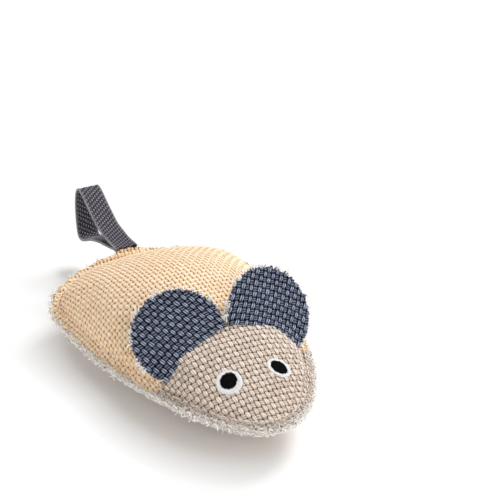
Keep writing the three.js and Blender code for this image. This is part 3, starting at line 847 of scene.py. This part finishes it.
# Heavy canvas: a painted highlight on the crests of the floats and along their two strands, duller flanks,
# and painted shade in the creases, holes and flanks where yarns part. split says how far the two strands of a
# float show, keen how quickly the painted highlight falls off, weft_share how bright the weft's lower floats
# are beside the warp's, and shade_share how dark the painted shade gets.
def canvas(name, bright, plain, dark, drift, split=0.5, keen=1.0, shade_share=0.9, weft_share=0.7,
           halves=YARN_HALVES, gloss=0.25, fluff=0.06):
    material, tree, shader = new_material(name, {
        "Specular IOR Level": gloss, "Sheen Weight": fluff, "Sheen Roughness": 0.6})
    warp, crest, painted_shade, tone, fibre, strand, height = placed(tree, WEAVE, cloth_place(tree), *halves)
    slow = placed(tree, HANDLING, 38.0)[0]
    # Painted highlight on the crests and along the two strands of each float, weaker on the weft's lower
    # floats
    lit = (crest * strand.ranged(0.0, 1.0, 1 - split, 1.0)) ** keen
    lit = lit * tone.ranged(0.0, 1.0, 0.78, 1.18) * warp.ranged(0.0, 1.0, weft_share, 1.0)
    streak = fibre.ranged(0.3, 0.7, -0.28 / keen, 0.28 / keen)
    yarn = lit.calc("ADD", streak, clamp=True).mixed(plain, bright)
    drifted = (slow * 0.35).mixed(yarn, drift, "MULTIPLY")
    # The painted shade darkens the yarn towards the dark colour
    colour = (painted_shade * shade_share).mixed(drifted, dark)
    finish_material(shader, colour, crest.ranged(0.0, 1.0, 0.98, 0.86), height, 0.22 * MM, 0.9)
    return material


# clear is how much light a fine yarn lets through
def thread(name, bright, dull, twist=0.9, rough=0.8, clear=0.0, gloss=0.25, fluff=0.0):
    material, tree, shader = new_material(name, {
        "Specular IOR Level": gloss, "Sheen Weight": fluff, "Subsurface Weight": clear,
        "Subsurface Scale": 0.8 * MM, "Subsurface Radius": (1, 1, 1)})
    ply, fibre, tone = placed(tree, THREAD, cloth_place(tree), twist)
    colour = (ply * 0.45).calc("ADD", fibre * 0.6, clamp=True).mixed(dull, bright)
    colour = (tone * 0.4).mixed(colour, dull)
    roughness = fibre.ranged(0.0, 1.0, rough + 0.1, rough - 0.1)
    finish_material(shader, colour, roughness, ply + fibre, 0.08 * MM, 0.6)
    return material


# Each canvas: the painted highlight's colour, the duller flanks' colour, the painted shade's colour between
# yarns, and the slow drift
SAND = canvas("sand_canvas", srgb(255, 239, 214), srgb(243, 199, 149), srgb(126, 68, 26),
              srgb(242, 226, 206), split=0.45, shade_share=0.97, weft_share=0.8, halves=(0.45, 0.39))
TAUPE = canvas("taupe_canvas", srgb(250, 236, 222), srgb(140, 119, 106), srgb(34, 23, 19),
               srgb(226, 216, 208), split=0.6, keen=1.1, shade_share=0.98, weft_share=0.7)
NAVY = canvas("navy_canvas", srgb(178, 190, 214), srgb(16, 20, 37), srgb(2, 2, 5),
              srgb(206, 208, 216), split=0.9, keen=2.4, shade_share=0.98, weft_share=0.45,
              halves=(0.45, 0.4), gloss=0.08, fluff=0.0)
GREIGE = canvas("greige_canvas", srgb(228, 223, 214), srgb(190, 185, 177), srgb(90, 84, 78),
                srgb(224, 222, 218), shade_share=0.7)
WEBBING = canvas("tail_webbing", srgb(150, 147, 158), srgb(46, 44, 52), srgb(16, 16, 22),
                 srgb(206, 204, 210), split=0.0, keen=1.8, weft_share=0.25, halves=(0.42, 0.4),
                 gloss=0.1, fluff=0.0)
CREAM = thread("cream_yarn", srgb(255, 252, 245), srgb(252, 242, 231), clear=0.6, fluff=0.7)
SAND_YARN = thread("sand_yarn", srgb(254, 237, 209), srgb(236, 204, 164), clear=0.3)
TAUPE_YARN = thread("taupe_yarn", srgb(250, 238, 228), srgb(198, 180, 168), clear=0.3)
NAVY_YARN = thread("navy_yarn", srgb(120, 130, 158), srgb(26, 30, 46))
GREY_YARN = thread("grey_yarn", srgb(176, 174, 180), srgb(108, 105, 112))
EYE_WHITE = thread("eye_white_thread", srgb(255, 255, 255), srgb(252, 252, 252), 0.4, 0.6, 0.3, fluff=0.5)
EYE_BLACK = thread("eye_black_thread", srgb(12, 12, 14), srgb(2, 2, 3), 0.4, 0.7, gloss=0.04)
WADDING = thread("wadding", srgb(248, 247, 243), srgb(226, 224, 220))
MUSLIN = canvas("muslin", srgb(226, 218, 188), srgb(204, 194, 160), srgb(120, 116, 84),
                srgb(210, 214, 180), shade_share=0.7)


# Where the cloth rolls down into the head seam
def head_seam_sink(point):
    away = np.abs(point[:, 0] - head_seam_x(point[:, 1]))
    near = np.clip(SEAM_ROLL - away, 0, SEAM_ROLL)
    return SEAM_ROLL - np.sqrt(SEAM_ROLL ** 2 - near ** 2)


def inside_hem(point, inset):
    x, y = point[:, 0], point[:, 1]
    turn = np.arctan2(y / HALF_WIDTH, (x - MIDDLE_X) / (BODY_LENGTH / 2))
    inset = inset + waves(turn, CUT_WAVES)
    return (np.abs(x - WIDEST_X) < half_length(x > WIDEST_X, inset)) & (np.abs(y) < half_width_at(x, inset))


# Where a seam's end pulls the cover down, beside the foot of each ear
def ear_dents(grid):
    x = head_seam_x(HALF_WIDTH - HEM_WIDTH) - EAR_DENT_REACH[0] / 2
    y = half_width_at(x, HEM_WIDTH) - 1.2 * EAR_DENT_REACH[1]
    fall = bell(grid[..., 0] - x, EAR_DENT_REACH[0]) * bell(np.abs(grid[..., 1]) - y, EAR_DENT_REACH[1])
    grid[..., 2] -= EAR_DENT_DEPTH * fall


def build_covers():
    upper = dome_grid(1, CROWN_HEIGHT, CROWN_FORM, CLOTH_LEVEL)
    lower = dome_grid(-1, BELLY_DEPTH, BELLY_FORM, CLOTH_LEVEL)
    upper, lower = plumped(upper, lower)
    ear_dents(upper)
    lower[..., 2] = np.maximum(lower[..., 2], CLOTH_THICKNESS / 2)
    top = Skin(upper, hem_grid(1, CLOTH_LEVEL), 1)
    bottom = Skin(lower, hem_grid(-1, CLOTH_LEVEL), -1)

    def keep_back(point, _):
        behind = point[:, 0] < head_seam_x(point[:, 1]) - SEAM_GAP
        return behind & inside_hem(point, COVER_INSET)

    def keep_head(point, _):
        ahead = point[:, 0] > head_seam_x(point[:, 1]) + SEAM_GAP
        return ahead & inside_hem(point, COVER_INSET)

    def keep_belly(point, _):
        return inside_hem(point, BELLY_INSET)

    for name, skin, material, keep, samples, sink in (
            ("back", top, SAND, keep_back, BODY_SAMPLES, head_seam_sink),
            ("head", top, TAUPE, keep_head, HEAD_SAMPLES, head_seam_sink),
            ("belly", bottom, TAUPE, keep_belly, BELLY_SAMPLES, None)):
        piece = woven_sheet(f"{name}_canvas", lambda spots: skin.at_plan(spots[:, ::-1]), skin.low[::-1],
                            skin.high[::-1], BODY_PITCH, samples, material, keep, sink)
        declare(piece, f"{name}_cover")
    return top


# Points along the hem, evenly spaced, with the way out and the way along
def hem_spots(count, inset):
    fine = np.stack(outline_point(np.linspace(0, 2 * np.pi, 2401), inset), -1)
    length = distances(fine)
    even = length[-1] * np.arange(count) / count
    spots = np.stack([np.interp(even, length, fine[:, k]) for k in range(2)], -1)
    ahead = normalised(np.roll(spots, -1, 0) - np.roll(spots, 1, 0))
    outward = np.stack([ahead[:, 1], -ahead[:, 0]], -1)
    height = hem_height(spots[:, 0], spots[:, 1], inset)
    return (np.column_stack([spots, height]), *(np.pad(way, ((0, 0), (0, 1))) for way in (outward, ahead)))


# Frayed ends: each leaves the cloth's edge, bends and curls as it goes
def frayed(spots, outward, ahead, up, lengths, curl, steps=6):
    count = len(spots)
    t = np.linspace(0, 1, steps)[None, :, None]
    lean = dice.normal(0, 0.5, (count, 1, 1))
    lift = dice.normal(0, 0.35, (count, 1, 1))
    phase = dice.uniform(0, 2 * np.pi, (count, 1, 1))
    winding = 2 * np.pi * dice.uniform(0.5, 1.6, (count, 1, 1)) * t + phase
    reach = lengths[:, None, None]
    return (spots[:, None] + outward[:, None] * reach * t
            + ahead[:, None] * (reach * lean * t ** 1.5 + curl * np.sin(winding) * t)
            + up[:, None] * (reach * lift * t ** 1.5 + curl * np.cos(winding) * t))


def behind_seam(spots):
    return spots[:, 0] < head_seam_x(spots[:, 1])


def ahead_of_seam(spots):
    return ~behind_seam(spots)


# At the rear the cloth still holds nearly all its yarns, so few hang loose there
def loose_ahead(spots):
    share = smooth_step(0.06, 0.22, (spots[:, 0] - REAR_X) / BODY_LENGTH)
    return dice.random(len(spots)) < 0.04 + 0.96 * share


def everywhere(spots):
    return np.ones(len(spots), bool)


# The hem's cut ends, fringe and frizz. In millimetres: how far in they start and how high, how far that
# spreads, their reach, curl and radius. Then the points to a yarn, and where it grows.
def build_fringe():
    for name, count, inset, level, spread, reach, curl, radius, material, steps, where in (
            ("back_cut_ends", 760, 1.5, 0.36, 0.15, 0.9, 0.12, 0.34, SAND_YARN, 4, behind_seam),
            ("head_cut_ends", 760, 1.5, 0.36, 0.15, 0.9, 0.12, 0.34, TAUPE_YARN, 4, ahead_of_seam),
            ("belly_cut_ends", 700, 1.3, -0.36, 0.15, 0.9, 0.15, 0.32, TAUPE_YARN, 4, everywhere),
            ("hem_fringe", 1450, 0.7, -0.15, 0.6, 1.0, 0.8, 0.24, CREAM, 9, loose_ahead),
            ("head_hem_frizz", 900, 2.6, 0.75, 0.2, 0.8, 0.8, 0.15, TAUPE_YARN, 8, ahead_of_seam),
            ("hem_frizz", 800, 1.5, 0.6, 0.3, 0.9, 0.8, 0.13, CREAM, 8, ahead_of_seam),
            ("hem_fuzz", 650, 0.9, -0.1, 0.7, 1.5, 0.9, 0.07, CREAM, 6, loose_ahead)):
        ways = hem_spots(count, inset * MM)
        ways[0][:] += dice.normal(0, 0.25 * MM, (count, 3))
        ways[0][:, 2] += (level + dice.uniform(-spread, spread, count)) * MM
        chosen = where(ways[0])
        spots, outward, ahead = (way[chosen] for way in ways)
        up = np.tile([0.0, 0.0, 1.0], (len(spots), 1))
        calm = 1 - 0.45 * smooth_step(0, 0.5 * HALF_WIDTH, spots[:, 1])
        lengths = np.minimum(dice.gamma(3.0, reach / 3.0, len(spots)), 2.6 * reach) * calm * MM
        routes = frayed(spots, outward, ahead, up, lengths, curl * MM * calm[:, None, None], steps)
        declare(yarns(name, routes, dice.uniform(0.6, 1.2, len(spots)) * radius * MM, material))


# Loosened yarns that run along the raw edge
def build_loose_yarns():
    count = 900
    run = angles(count)

    def straying():
        return sum(dice.uniform(0.1, 0.3) * MM * np.sin(dice.integers(40, 230) * run + dice.uniform(0, 6))
                   for _ in range(6))

    routes = []
    for number in range(6):
        route, outward, _ = hem_spots(count, (1 - 0.28 * number) * MM)
        kept = route[:, 0] > REAR_X + (0.1 + 0.05 * number) * BODY_LENGTH
        route += outward * straying()[:, None]
        route[:, 2] += straying() + (0.2 - 0.16 * number) * MM
        first = int(np.argmax(~kept & np.roll(kept, -1))) + 1
        routes.append(np.roll(route, -first, axis=0)[:int(kept.sum())])
    declare(yarns("hem_loose_yarns", routes, dice.uniform(0.15, 0.23, len(routes)) * MM, CREAM, 5))


# A row of stitches, each up out of the cloth, over and down again
def sew(name, starts, ends, normals, rise, radius, stands_for):
    t = np.linspace(0, 1, 6)[None, :, None]
    lift = rise * np.sin(np.pi * t) ** 0.6 - 0.35 * MM
    routes = starts[:, None] * (1 - t) + ends[:, None] * t + normals[:, None] * lift
    declare(yarns(name, routes, [radius] * len(starts), CREAM, 6), stands_for)


# The hem's seam above and below, and the slanted row that closes it at the rear. In millimetres: how far
# in and how high it lies, half a stitch along and across, its rise and its radius.
def build_stitches():
    for name, side, inset, level, along, across, rise, radius, stands_for in (
            ("edge_stitches_upper", 1, 3.2, 0.25, 1.1, 0, 0.5, 0.2, "edge_stitch_upper"),
            ("edge_stitches_lower", -1, 3.2, 0.25, 1.1, 0, 0.5, 0.2, "edge_stitch_lower"),
            ("closing_stitches", 1, 1.6, 0.5, 1.3, 0.8, 0.6, 0.34, "closing_stitch")):
        ways = hem_spots(86, inset * MM)
        x, y = ways[0][:, 0], ways[0][:, 1]
        chosen = (x < REAR_X + 16 * MM) & (y > 14 * MM) | (across == 0)
        spots, outward, ahead = (way[chosen] for way in ways)
        spots[:, 2] += side * (CLOTH_LEVEL + level * MM)
        slant = (ahead * along + outward * across) * MM
        normals = np.tile([0.0, 0.0, side], (len(spots), 1))
        sew(name, spots - slant, spots + slant, normals, rise * MM, radius * MM, stands_for)


# Small stitches down in the groove between back and head, each over a few yarns
def build_head_seam(skin):
    width = SEAM_HALF - 1.5 * MM
    y = np.linspace(-width, width, 2 * SEAM_STITCHES)
    points, normals = skin.over(np.stack([head_seam_x(y), y], -1))
    spots = points - normals * (SEAM_ROLL - 0.15 * MM)
    overlap = 0.2 * (spots[1::2] - spots[::2])
    sew("head_seam_stitches", spots[::2] - overlap, spots[1::2] + overlap, normals[::2], 0.45 * MM, 0.16 * MM,
        "head_seam_thread")


class Ear:
    """Place of one ear: its foot runs along the head seam, and it leans back from it."""

    def __init__(self, side, skin):
        shares = np.array([EAR_INNER_SHARE, EAR_OUTER_SHARE, (EAR_INNER_SHARE + EAR_OUTER_SHARE) / 2])
        y = shares * SEAM_HALF * (1 if side == "left" else -1)
        inner, outer, bowed = skin.over(np.stack([head_seam_x(y), y], -1))[0]
        self.along = normalised(outer - inner)
        flat = np.array([-1.0, 0, 0])
        flat = normalised(flat - (flat @ self.along) * self.along)
        upright = np.cross(self.along, flat)
        upright = upright * np.sign(upright[2])
        tilt = math.radians(EAR_REST_DEGREES[side])
        self.rise = flat * math.cos(tilt) + upright * math.sin(tilt)
        self.front = -flat * math.sin(tilt) + upright * math.cos(tilt)
        self.middle = (inner + outer) / 2
        bow = bowed - self.middle
        self.bow = bow - (bow @ self.along) * self.along
        start = self.middle + self.bow - 0.5 * MM * self.rise
        self.bend = (f"ear_{side}", start, start + EAR_BEND * self.rise)
        self.foot_half = math.sqrt(EAR_RADIUS ** 2 - EAR_CENTRE_RISE ** 2)
        self.reach = math.pi - math.acos(EAR_CENTRE_RISE / EAR_RADIUS)
        self.area = EAR_RADIUS ** 2 * self.reach + self.foot_half * (EAR_CENTRE_RISE + 2 * EAR_FOOT)

    def place(self, spots, offset):
        across, height = spots[:, 0], spots[:, 1] / EAR_HIGH
        share = np.clip(across / self.foot_half, -1.1, 1.1)
        bow = (1 - share ** 2) * np.clip(1 - height, 0, 1.2) ** EAR_BOW_POWER
        cup = (EAR_CUP[0] + EAR_CUP[1] * (across / EAR_RADIUS) ** 2) * smooth_step(0, 0.45, height)
        ripple = EAR_RIPPLE * np.sin(across / EAR_RIPPLE_LENGTH) * np.clip(height, 0, 1) ** 2
        return (self.middle + across[:, None] * self.along + spots[:, 1:] * self.rise
                + bow[:, None] * self.bow + (offset + cup + ripple)[:, None] * self.front)

    def surface(self, side):
        def place(spots):
            step = 0.05 * MM
            point, across, up = (self.place(spots + way, side * EAR_LAYER_LEVEL)
                                 for way in ([0, 0], [step, 0], [0, step]))
            normal = normalised(np.cross(across - point, up - point))
            return point, normal * np.sign(normal @ self.front)[:, None] * side, np.ones(len(spots), bool)
        return place

    def keep(self, trim):
        def inside(_, spots):
            across, height = spots[:, 0], spots[:, 1]
            round_part = np.hypot(across, height - EAR_CENTRE_RISE) < EAR_RADIUS - trim
            foot_part = (height < 0) & (np.abs(across) < self.foot_half - trim)
            return (height > -EAR_FOOT) & (round_part | foot_part)
        return inside

    def rim(self, count):
        turn = np.linspace(-self.reach, self.reach, count)
        way = np.stack([np.sin(turn), np.cos(turn)], -1)
        spots = (EAR_RADIUS - EAR_TRIM_INSET) * way + [0, EAR_CENTRE_RISE]
        point = self.place(spots, EAR_TRIM_LEVEL)
        outward = normalised(self.place(spots + way * MM, EAR_TRIM_LEVEL) - point)
        return point, outward, normalised(np.cross(outward, self.front)), turn


# Two layers of cloth, then their cut ends, fringe and fuzz. In millimetres: least length, reach, curl
# and radius.
def build_ear(side, skin):
    ear = Ear(side, skin)
    for layer, facing, material, trim in (("front", 1, NAVY, 0.5 * MM), ("back", -1, GREIGE, 0.2 * MM)):
        piece = woven_sheet(f"ear_{side}_{layer}_cloth", ear.surface(facing), (-EAR_RADIUS, -EAR_FOOT),
                            (EAR_RADIUS, EAR_HIGH), EAR_PITCH, EAR_SAMPLES, material, ear.keep(trim))
        declare(piece, f"ear_{side}_{layer}", ear.bend)
    for name, count, least, reach, curl, radius, material in (
            ("cut_ends", 210, 0.1, 0.5, 0.15, 0.3, NAVY_YARN), ("fringe", 900, 0.5, 1.0, 0.6, 0.22, CREAM),
            ("fuzz", 240, 0.5, 1.1, 0.6, 0.07, CREAM)):
        spots, outward, ahead, turn = ear.rim(count)
        if material is CREAM:
            wave = waves(turn, ((1, 11, EAR_TUFT_START[side]), (1, 29, 0), (1, 53, 2)))
            loose = EAR_FRAY[side][0] * (turn < 0) + EAR_FRAY[side][1] * (turn > 0)
            tufts = smooth_step(0.1, 1.6, wave) * np.abs(turn / turn[0]) ** 0.3
            kept = dice.random(count) < 0.03 + loose * tufts
            spots, outward, ahead = spots[kept], outward[kept], ahead[kept]
        left = len(spots)
        up = np.tile(ear.front, (left, 1))
        spots = spots + up * dice.normal(0, 0.22 * MM, (left, 1))
        lengths = np.minimum(least + dice.gamma(2.5, reach / 2.5, left), least + 2.5 * reach) * MM
        routes = frayed(spots, outward, ahead, up, lengths, curl * MM)
        radii = dice.uniform(0.7, 1.2, left) * radius * MM
        declare(yarns(f"ear_{side}_{name}", routes, radii, material), bend=ear.bend)


# Satin stitches: a white ring worked across its width, and a black disc worked in one direction
def build_eye(side, skin):
    sign = 1 if side == "left" else -1
    ring, pupil = EYE_RADIUS * EYE_SIZE[side], PUPIL_RADIUS * EYE_SIZE[side]
    (centre,), (normal,) = skin.over([(EYE_X, sign * EYE_SPACING / 2)])
    forward = normalised(np.array([1.0, 0, 0]) - normal[0] * normal)
    sideways = np.cross(normal, forward)
    ring_way = (EYE_STRETCH[side][0], 0)
    pupil_way = (EYE_STRETCH[side][1], PUPIL_BACK[side])

    def on_head(a, b, lift, way):
        stretch, back = way
        a, b = a + stretch * b - back, b + stretch * a
        flat = centre + np.multiply.outer(a, forward) + np.multiply.outer(b, sideways)
        points, normals = skin.over(flat.reshape(-1, 3)[:, :2])
        return (points + normals * lift).reshape(flat.shape), normals.reshape(flat.shape)

    def patch(name, inner, outer, lift, crown, material, way):
        around = 72
        share = np.linspace(0, 1, 6)
        radius = inner + (outer - inner) * share
        turn = angles(around)
        wobble = 1 + waves(turn, ((0.014, 5, 1 + sign), (0.012, 11, 0)))
        points, normals = on_head(np.outer(radius, np.cos(turn) * wobble),
                                  np.outer(radius, np.sin(turn) * wobble), lift, way)
        points = points + normals * (crown * (1 - (2 * share - 1) ** 4))[:, None, None]
        grid = np.concatenate([points, points[-1:] - normals[-1:] * lift])
        cloth = np.ones(grid.shape) * [0, 0, 1]
        cloth[..., 0] = turn / (2 * np.pi)
        return new_piece(name, grid, ring_faces(len(grid), around, turned=True), material, cloth)

    def satin(name, routes, radii, material):
        return yarns(f"eye_{side}_{name}_stitches", routes, radii, material, 5)

    pad = patch(f"eye_{side}_white_pad", pupil * 0.7, ring * 0.97, EYE_LEVEL, 0.1 * MM, EYE_WHITE, ring_way)
    turn = (angles(RING_STITCHES) + dice.normal(0, 0.01, RING_STITCHES))[:, None]
    jitter = dice.normal(0, 0.1 * MM, (RING_STITCHES, 1)) * np.linspace(0.2, 1, 7)
    reach = np.linspace(pupil * 0.95, ring, 7) + jitter
    flat, normals = on_head(np.cos(turn) * reach, np.sin(turn) * reach, EYE_LEVEL, ring_way)
    arch = np.sin(np.pi * np.linspace(0.05, 0.95, 7)) ** 0.7
    routes = flat + normals * (0.26 * MM * arch - 0.08 * MM)[:, None]
    stitches = satin("white", routes, dice.uniform(0.1, 0.15, RING_STITCHES) * MM, EYE_WHITE)

    black = patch(f"eye_{side}_black_pad", 0.05 * MM, pupil * 0.9, EYE_LEVEL + 0.08 * MM, 0.16 * MM,
                  EYE_BLACK, pupil_way)
    slant = math.radians(PUPIL_SLANT_DEGREES[side])
    arch = np.minimum(1, 2.4 * np.sin(np.pi * np.linspace(0.05, 0.95, 12))) ** 0.6
    routes = []
    for row in np.linspace(-0.97, 0.97, PUPIL_STITCHES) * pupil:
        half = math.sqrt(pupil ** 2 - row ** 2) + dice.normal(0.05 * MM, 0.19 * MM)
        line = np.linspace(-half, half, 12)
        bent = row + dice.normal(0, 0.06 * MM) * np.linspace(-1, 1, 12)
        flat, normals = on_head(line * math.cos(slant) - bent * math.sin(slant),
                                line * math.sin(slant) + bent * math.cos(slant),
                                EYE_LEVEL + 0.2 * MM, pupil_way)
        routes.append(flat + normals * (0.2 * MM * arch - 0.1 * MM)[:, None])
    dark = satin("black", routes, [0.16 * MM] * PUPIL_STITCHES, EYE_BLACK)
    declare(pad, f"eye_{side}_white")
    declare(stitches)
    declare(black, f"eye_{side}_pupil")
    declare(dark)


def build_tail():
    hinge = np.array(next(joint["pos_m"] for joint in frame["joints"] if joint["child"] == "tail"))
    half = 0.5 * WEBBING_THICKNESS / TAIL_HEIGHT
    shares = [(0, half), *TAIL_SHARES, (0, -half)]
    ends = np.array([[[TAIL_INSIDE, 0.55 * WEBBING_THICKNESS]], [[TAIL_INSIDE, -0.55 * WEBBING_THICKNESS]]])
    knots = np.concatenate([ends[0], np.array(shares) * (TAIL_REACH, TAIL_HEIGHT), ends[1]])
    line = spline_rows(knots, 14, closed=False)
    line[:, 1] -= TAIL_SAG * np.clip(-line[:, 0] / TAIL_REACH, 0, 1) ** 1.3
    line = np.insert(line, 1, 0, axis=1)
    length = distances(line)
    total = length[-1]
    across = np.array([0.0, 1.0, 0.0])

    def spot(v):
        return np.stack([np.interp(v, length, line[:, k]) for k in range(3)], -1)

    # The middle of the webbing at a length along it, and the way out of its face
    def centre(v):
        step = 0.4 * MM
        return hinge + spot(v), np.cross(normalised(spot(v + step) - spot(v - step)), across)

    def face(side):
        def place(spots):
            v = spots[:, 1] - WEBBING_SLANT * spots[:, 0]
            middle, outward = centre(np.clip(v, 0, total))
            edge = np.abs(spots[:, 0]) / (WEBBING_WIDTH / 2)
            sag = 0.18 * MM * np.maximum(edge - 0.8, 0) / 0.2
            lift = WEBBING_THICKNESS / 2 - 0.28 * MM - sag
            point = middle + spots[:, :1] * across + outward * side * lift[:, None]
            return point, outward * side, (v > 0) & (v < total)
        return place

    def keep(_, spots):
        return np.abs(spots[:, 0]) < WEBBING_WIDTH / 2 - 0.45 * MM

    slip = WEBBING_SLANT * WEBBING_WIDTH / 2
    pieces = [woven_sheet(f"tail_webbing_{name}", face(side), (-WEBBING_WIDTH / 2, -slip),
                          (WEBBING_WIDTH / 2, total + slip), WEBBING_PITCH, WEBBING_SAMPLES, WEBBING,
                          keep, relief=0.3 * MM, stray=0.25) for name, side in (("outer", -1), ("inner", 1))]
    v = np.linspace(0, total, 520)
    middle, outward = centre(v)
    routes = []
    for edge in (-1, 1):
        for phase in (0, math.pi):
            wound = (2 * np.pi * v / SELVEDGE_TWIST + phase)[:, None]
            off = edge * (WEBBING_WIDTH / 2 - 0.42 * MM + 0.12 * MM * np.cos(wound))
            routes.append(middle + outward * (0.24 * MM * np.sin(wound)) + across * off)
    pieces.append(yarns("tail_selvedges", routes, [0.36 * MM] * len(routes), GREY_YARN, 6))
    bend = ("tail", hinge + [TAIL_BEND[0], 0, 0], hinge + [TAIL_BEND[1], 0, 0])
    for piece, stands_for in zip(pieces, ("tail_loop", None, None)):
        declare(piece, stands_for, bend)


# Filling: a lumpy wadding pillow with an open pocket, and the pouch that lies in it
def build_filling():
    low, high = (np.array(corner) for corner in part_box("catnip_pouch"))
    centre, half = (low + high) / 2, (high - low) / 2
    upper = dome_grid(1, CROWN_HEIGHT - FILLING_ROOM, CROWN_FORM, 0)
    lower = dome_grid(-1, BELLY_DEPTH - FILLING_ROOM, BELLY_FORM, 0)
    for grid in (upper, lower):
        grid[..., 0] = MIDDLE_X + (grid[..., 0] - MIDDLE_X) * FILLING_SCALE
        grid[..., 1] *= FILLING_SCALE
    lump = 0.5 * MM * np.sin(upper[..., 0] / (2.3 * MM)) * np.sin(upper[..., 1] / (2.9 * MM) + 1)
    upper[..., 2] += np.minimum(lump, 0) * (DOME_RINGS < 0.9)[:, None]
    reach = (np.abs(upper[..., :2] - centre[:2]) / (half[:2] + POCKET_ROOM)).max(-1)
    pocket = 1 - smooth_step(1.0, 1.12, reach)
    upper[..., 2] = upper[..., 2] * (1 - pocket) + (low[2] - 0.4 * MM) * pocket
    grid = np.concatenate([upper, lower[-2::-1]])
    points = np.concatenate([grid.reshape(-1, 3), [upper[0].mean(0)], [lower[0].mean(0)]])
    first = np.arange(AROUND)
    last = first + (len(grid) - 1) * AROUND
    top_fan = np.stack([np.full(AROUND, len(points) - 2), first, np.roll(first, -1)], -1)
    low_fan = np.stack([np.full(AROUND, len(points) - 1), np.roll(last, -1), last], -1)
    faces = ring_faces(len(grid), AROUND, turned=True).tolist() + top_fan.tolist() + low_fan.tolist()
    pillow = new_piece("wadding_pillow", points, faces, WADDING)
    declare(pillow, "stuffing")

    turn = angles(96)
    tilt = np.linspace(-np.pi / 2, np.pi / 2, 34)[1:-1, None]
    spread = np.cos(tilt) ** 0.4 * (1 + 0.02 * bell(tilt, 0.1) * (1 + np.sin(30 * turn)))
    x, y = (np.sign(way) * np.abs(way) ** 0.6 * spread for way in (np.cos(turn), np.sin(turn)))
    z = np.sin(tilt) * (1 - 0.03 * np.sin(5 * turn))
    points = centre + np.stack([x, y, z], -1) * half * (0.97, 0.97, 0.98)
    cloth = points * (1, 1, 0) / MUSLIN_PITCH
    around = np.arange(len(turn))
    caps = [around[::-1].tolist(), (around + (len(tilt) - 1) * len(turn)).tolist()]
    pouch = new_piece("catnip_bag", points, ring_faces(len(tilt), len(turn)).tolist() + caps, MUSLIN, cloth)
    declare(pouch, "catnip_pouch")


# One where a ray comes from the camera, a reflection or a clear surface, and nought for plain light
def looked_at(tree):
    rays = tree.nodes.new("ShaderNodeLightPath").outputs
    camera, glossy, clear = (Signal(tree, rays[f"Is {kind} Ray"])
                             for kind in ("Camera", "Glossy", "Transmission"))
    return camera.calc("MAXIMUM", glossy.calc("MAXIMUM", clear))


# Plain white as far as share says, and otherwise the shader
def whiten(tree, shader, share, white, output):
    given = {0: share, 1: Signal(tree, shader.outputs[0]), 2: add_node(tree, white, {"Color": WHITE})}
    wire(tree, add_node(tree, "MixShader", given), tree.nodes[output].inputs["Surface"])


def build_floor():
    material, tree, shader = new_material("white_floor", {
        "Specular IOR Level": 0.25, "Base Color": srgb(250, 249, 248), "Roughness": 0.9})
    place = add_node(tree, "NewGeometry", result="Position")
    x, y, _ = place.parts()
    behind = (x * -1.0).calc("MAXIMUM", 0.0)
    along = x.calc("MAXIMUM", 0.0) * SHADOW_AHEAD + behind * behind.calc("MULTIPLY_ADD", *SHADOW_BEHIND)
    across = y * behind.calc("MULTIPLY_ADD", SHADOW_WIDENING, 1.0)
    away = add_node(tree, "VectorMath", {0: vector(along, across)}, "Value", operation="LENGTH")
    from_tail = add_node(tree, "VectorMath", {0: place, 1: (REAR_X - TAIL_REACH, 0, 0)}, "Value",
                         operation="DISTANCE")
    far = away.ranged(*SHADOW_EDGE) * from_tail.ranged(*TAIL_SHADOW_EDGE)
    whiten(tree, shader, far * looked_at(tree), "Emission", "Material Output")
    corners = FLOOR_REACH * np.array([(-1, -1, 0), (1, -1, 0), (1, 1, 0), (-1, 1, 0)])
    new_piece("floor", corners, [[0, 1, 2, 3]], material)


def build_world():
    world = bpy.data.worlds.new("studio")
    bpy.context.scene.world = world
    world.use_nodes = True
    tree = world.node_tree
    sky = tree.nodes["Background"]
    sky.inputs["Color"].default_value = srgb(255, 253, 250)
    sky.inputs["Strength"].default_value = SKY_LIGHT
    whiten(tree, sky, looked_at(tree), "Background", "World Output")


def aimed(name, data, place, aim):
    holder = bpy.data.objects.new(name, data)
    holder.location = place
    holder.rotation_euler = (Vector(aim) - Vector(place)).to_track_quat("-Z", "Y").to_euler()
    bpy.context.scene.collection.objects.link(holder)
    return holder


def build_lamps():
    for name, place, width, power in LAMPS:
        lamp = bpy.data.lights.new(name, "AREA")
        lamp.size = width
        lamp.energy = power
        aimed(name, lamp, place, LAMP_AIM)


def build_camera():
    data = bpy.data.cameras.new("camera")
    data.sensor_width = 36
    data.lens = CAMERA_LENS
    data.clip_start = 0.01
    bpy.context.scene.camera = aimed("camera", data, CAMERA_PLACE, CAMERA_AIM)


build_camera()
top_skin = build_covers()
build_fringe()
build_loose_yarns()
build_stitches()
build_head_seam(top_skin)
for side in ("left", "right"):
    build_ear(side, top_skin)
    build_eye(side, top_skin)
build_tail()
build_filling()
build_floor()
build_world()
build_lamps()

bpy.context.scene.view_settings.view_transform = "Standard"
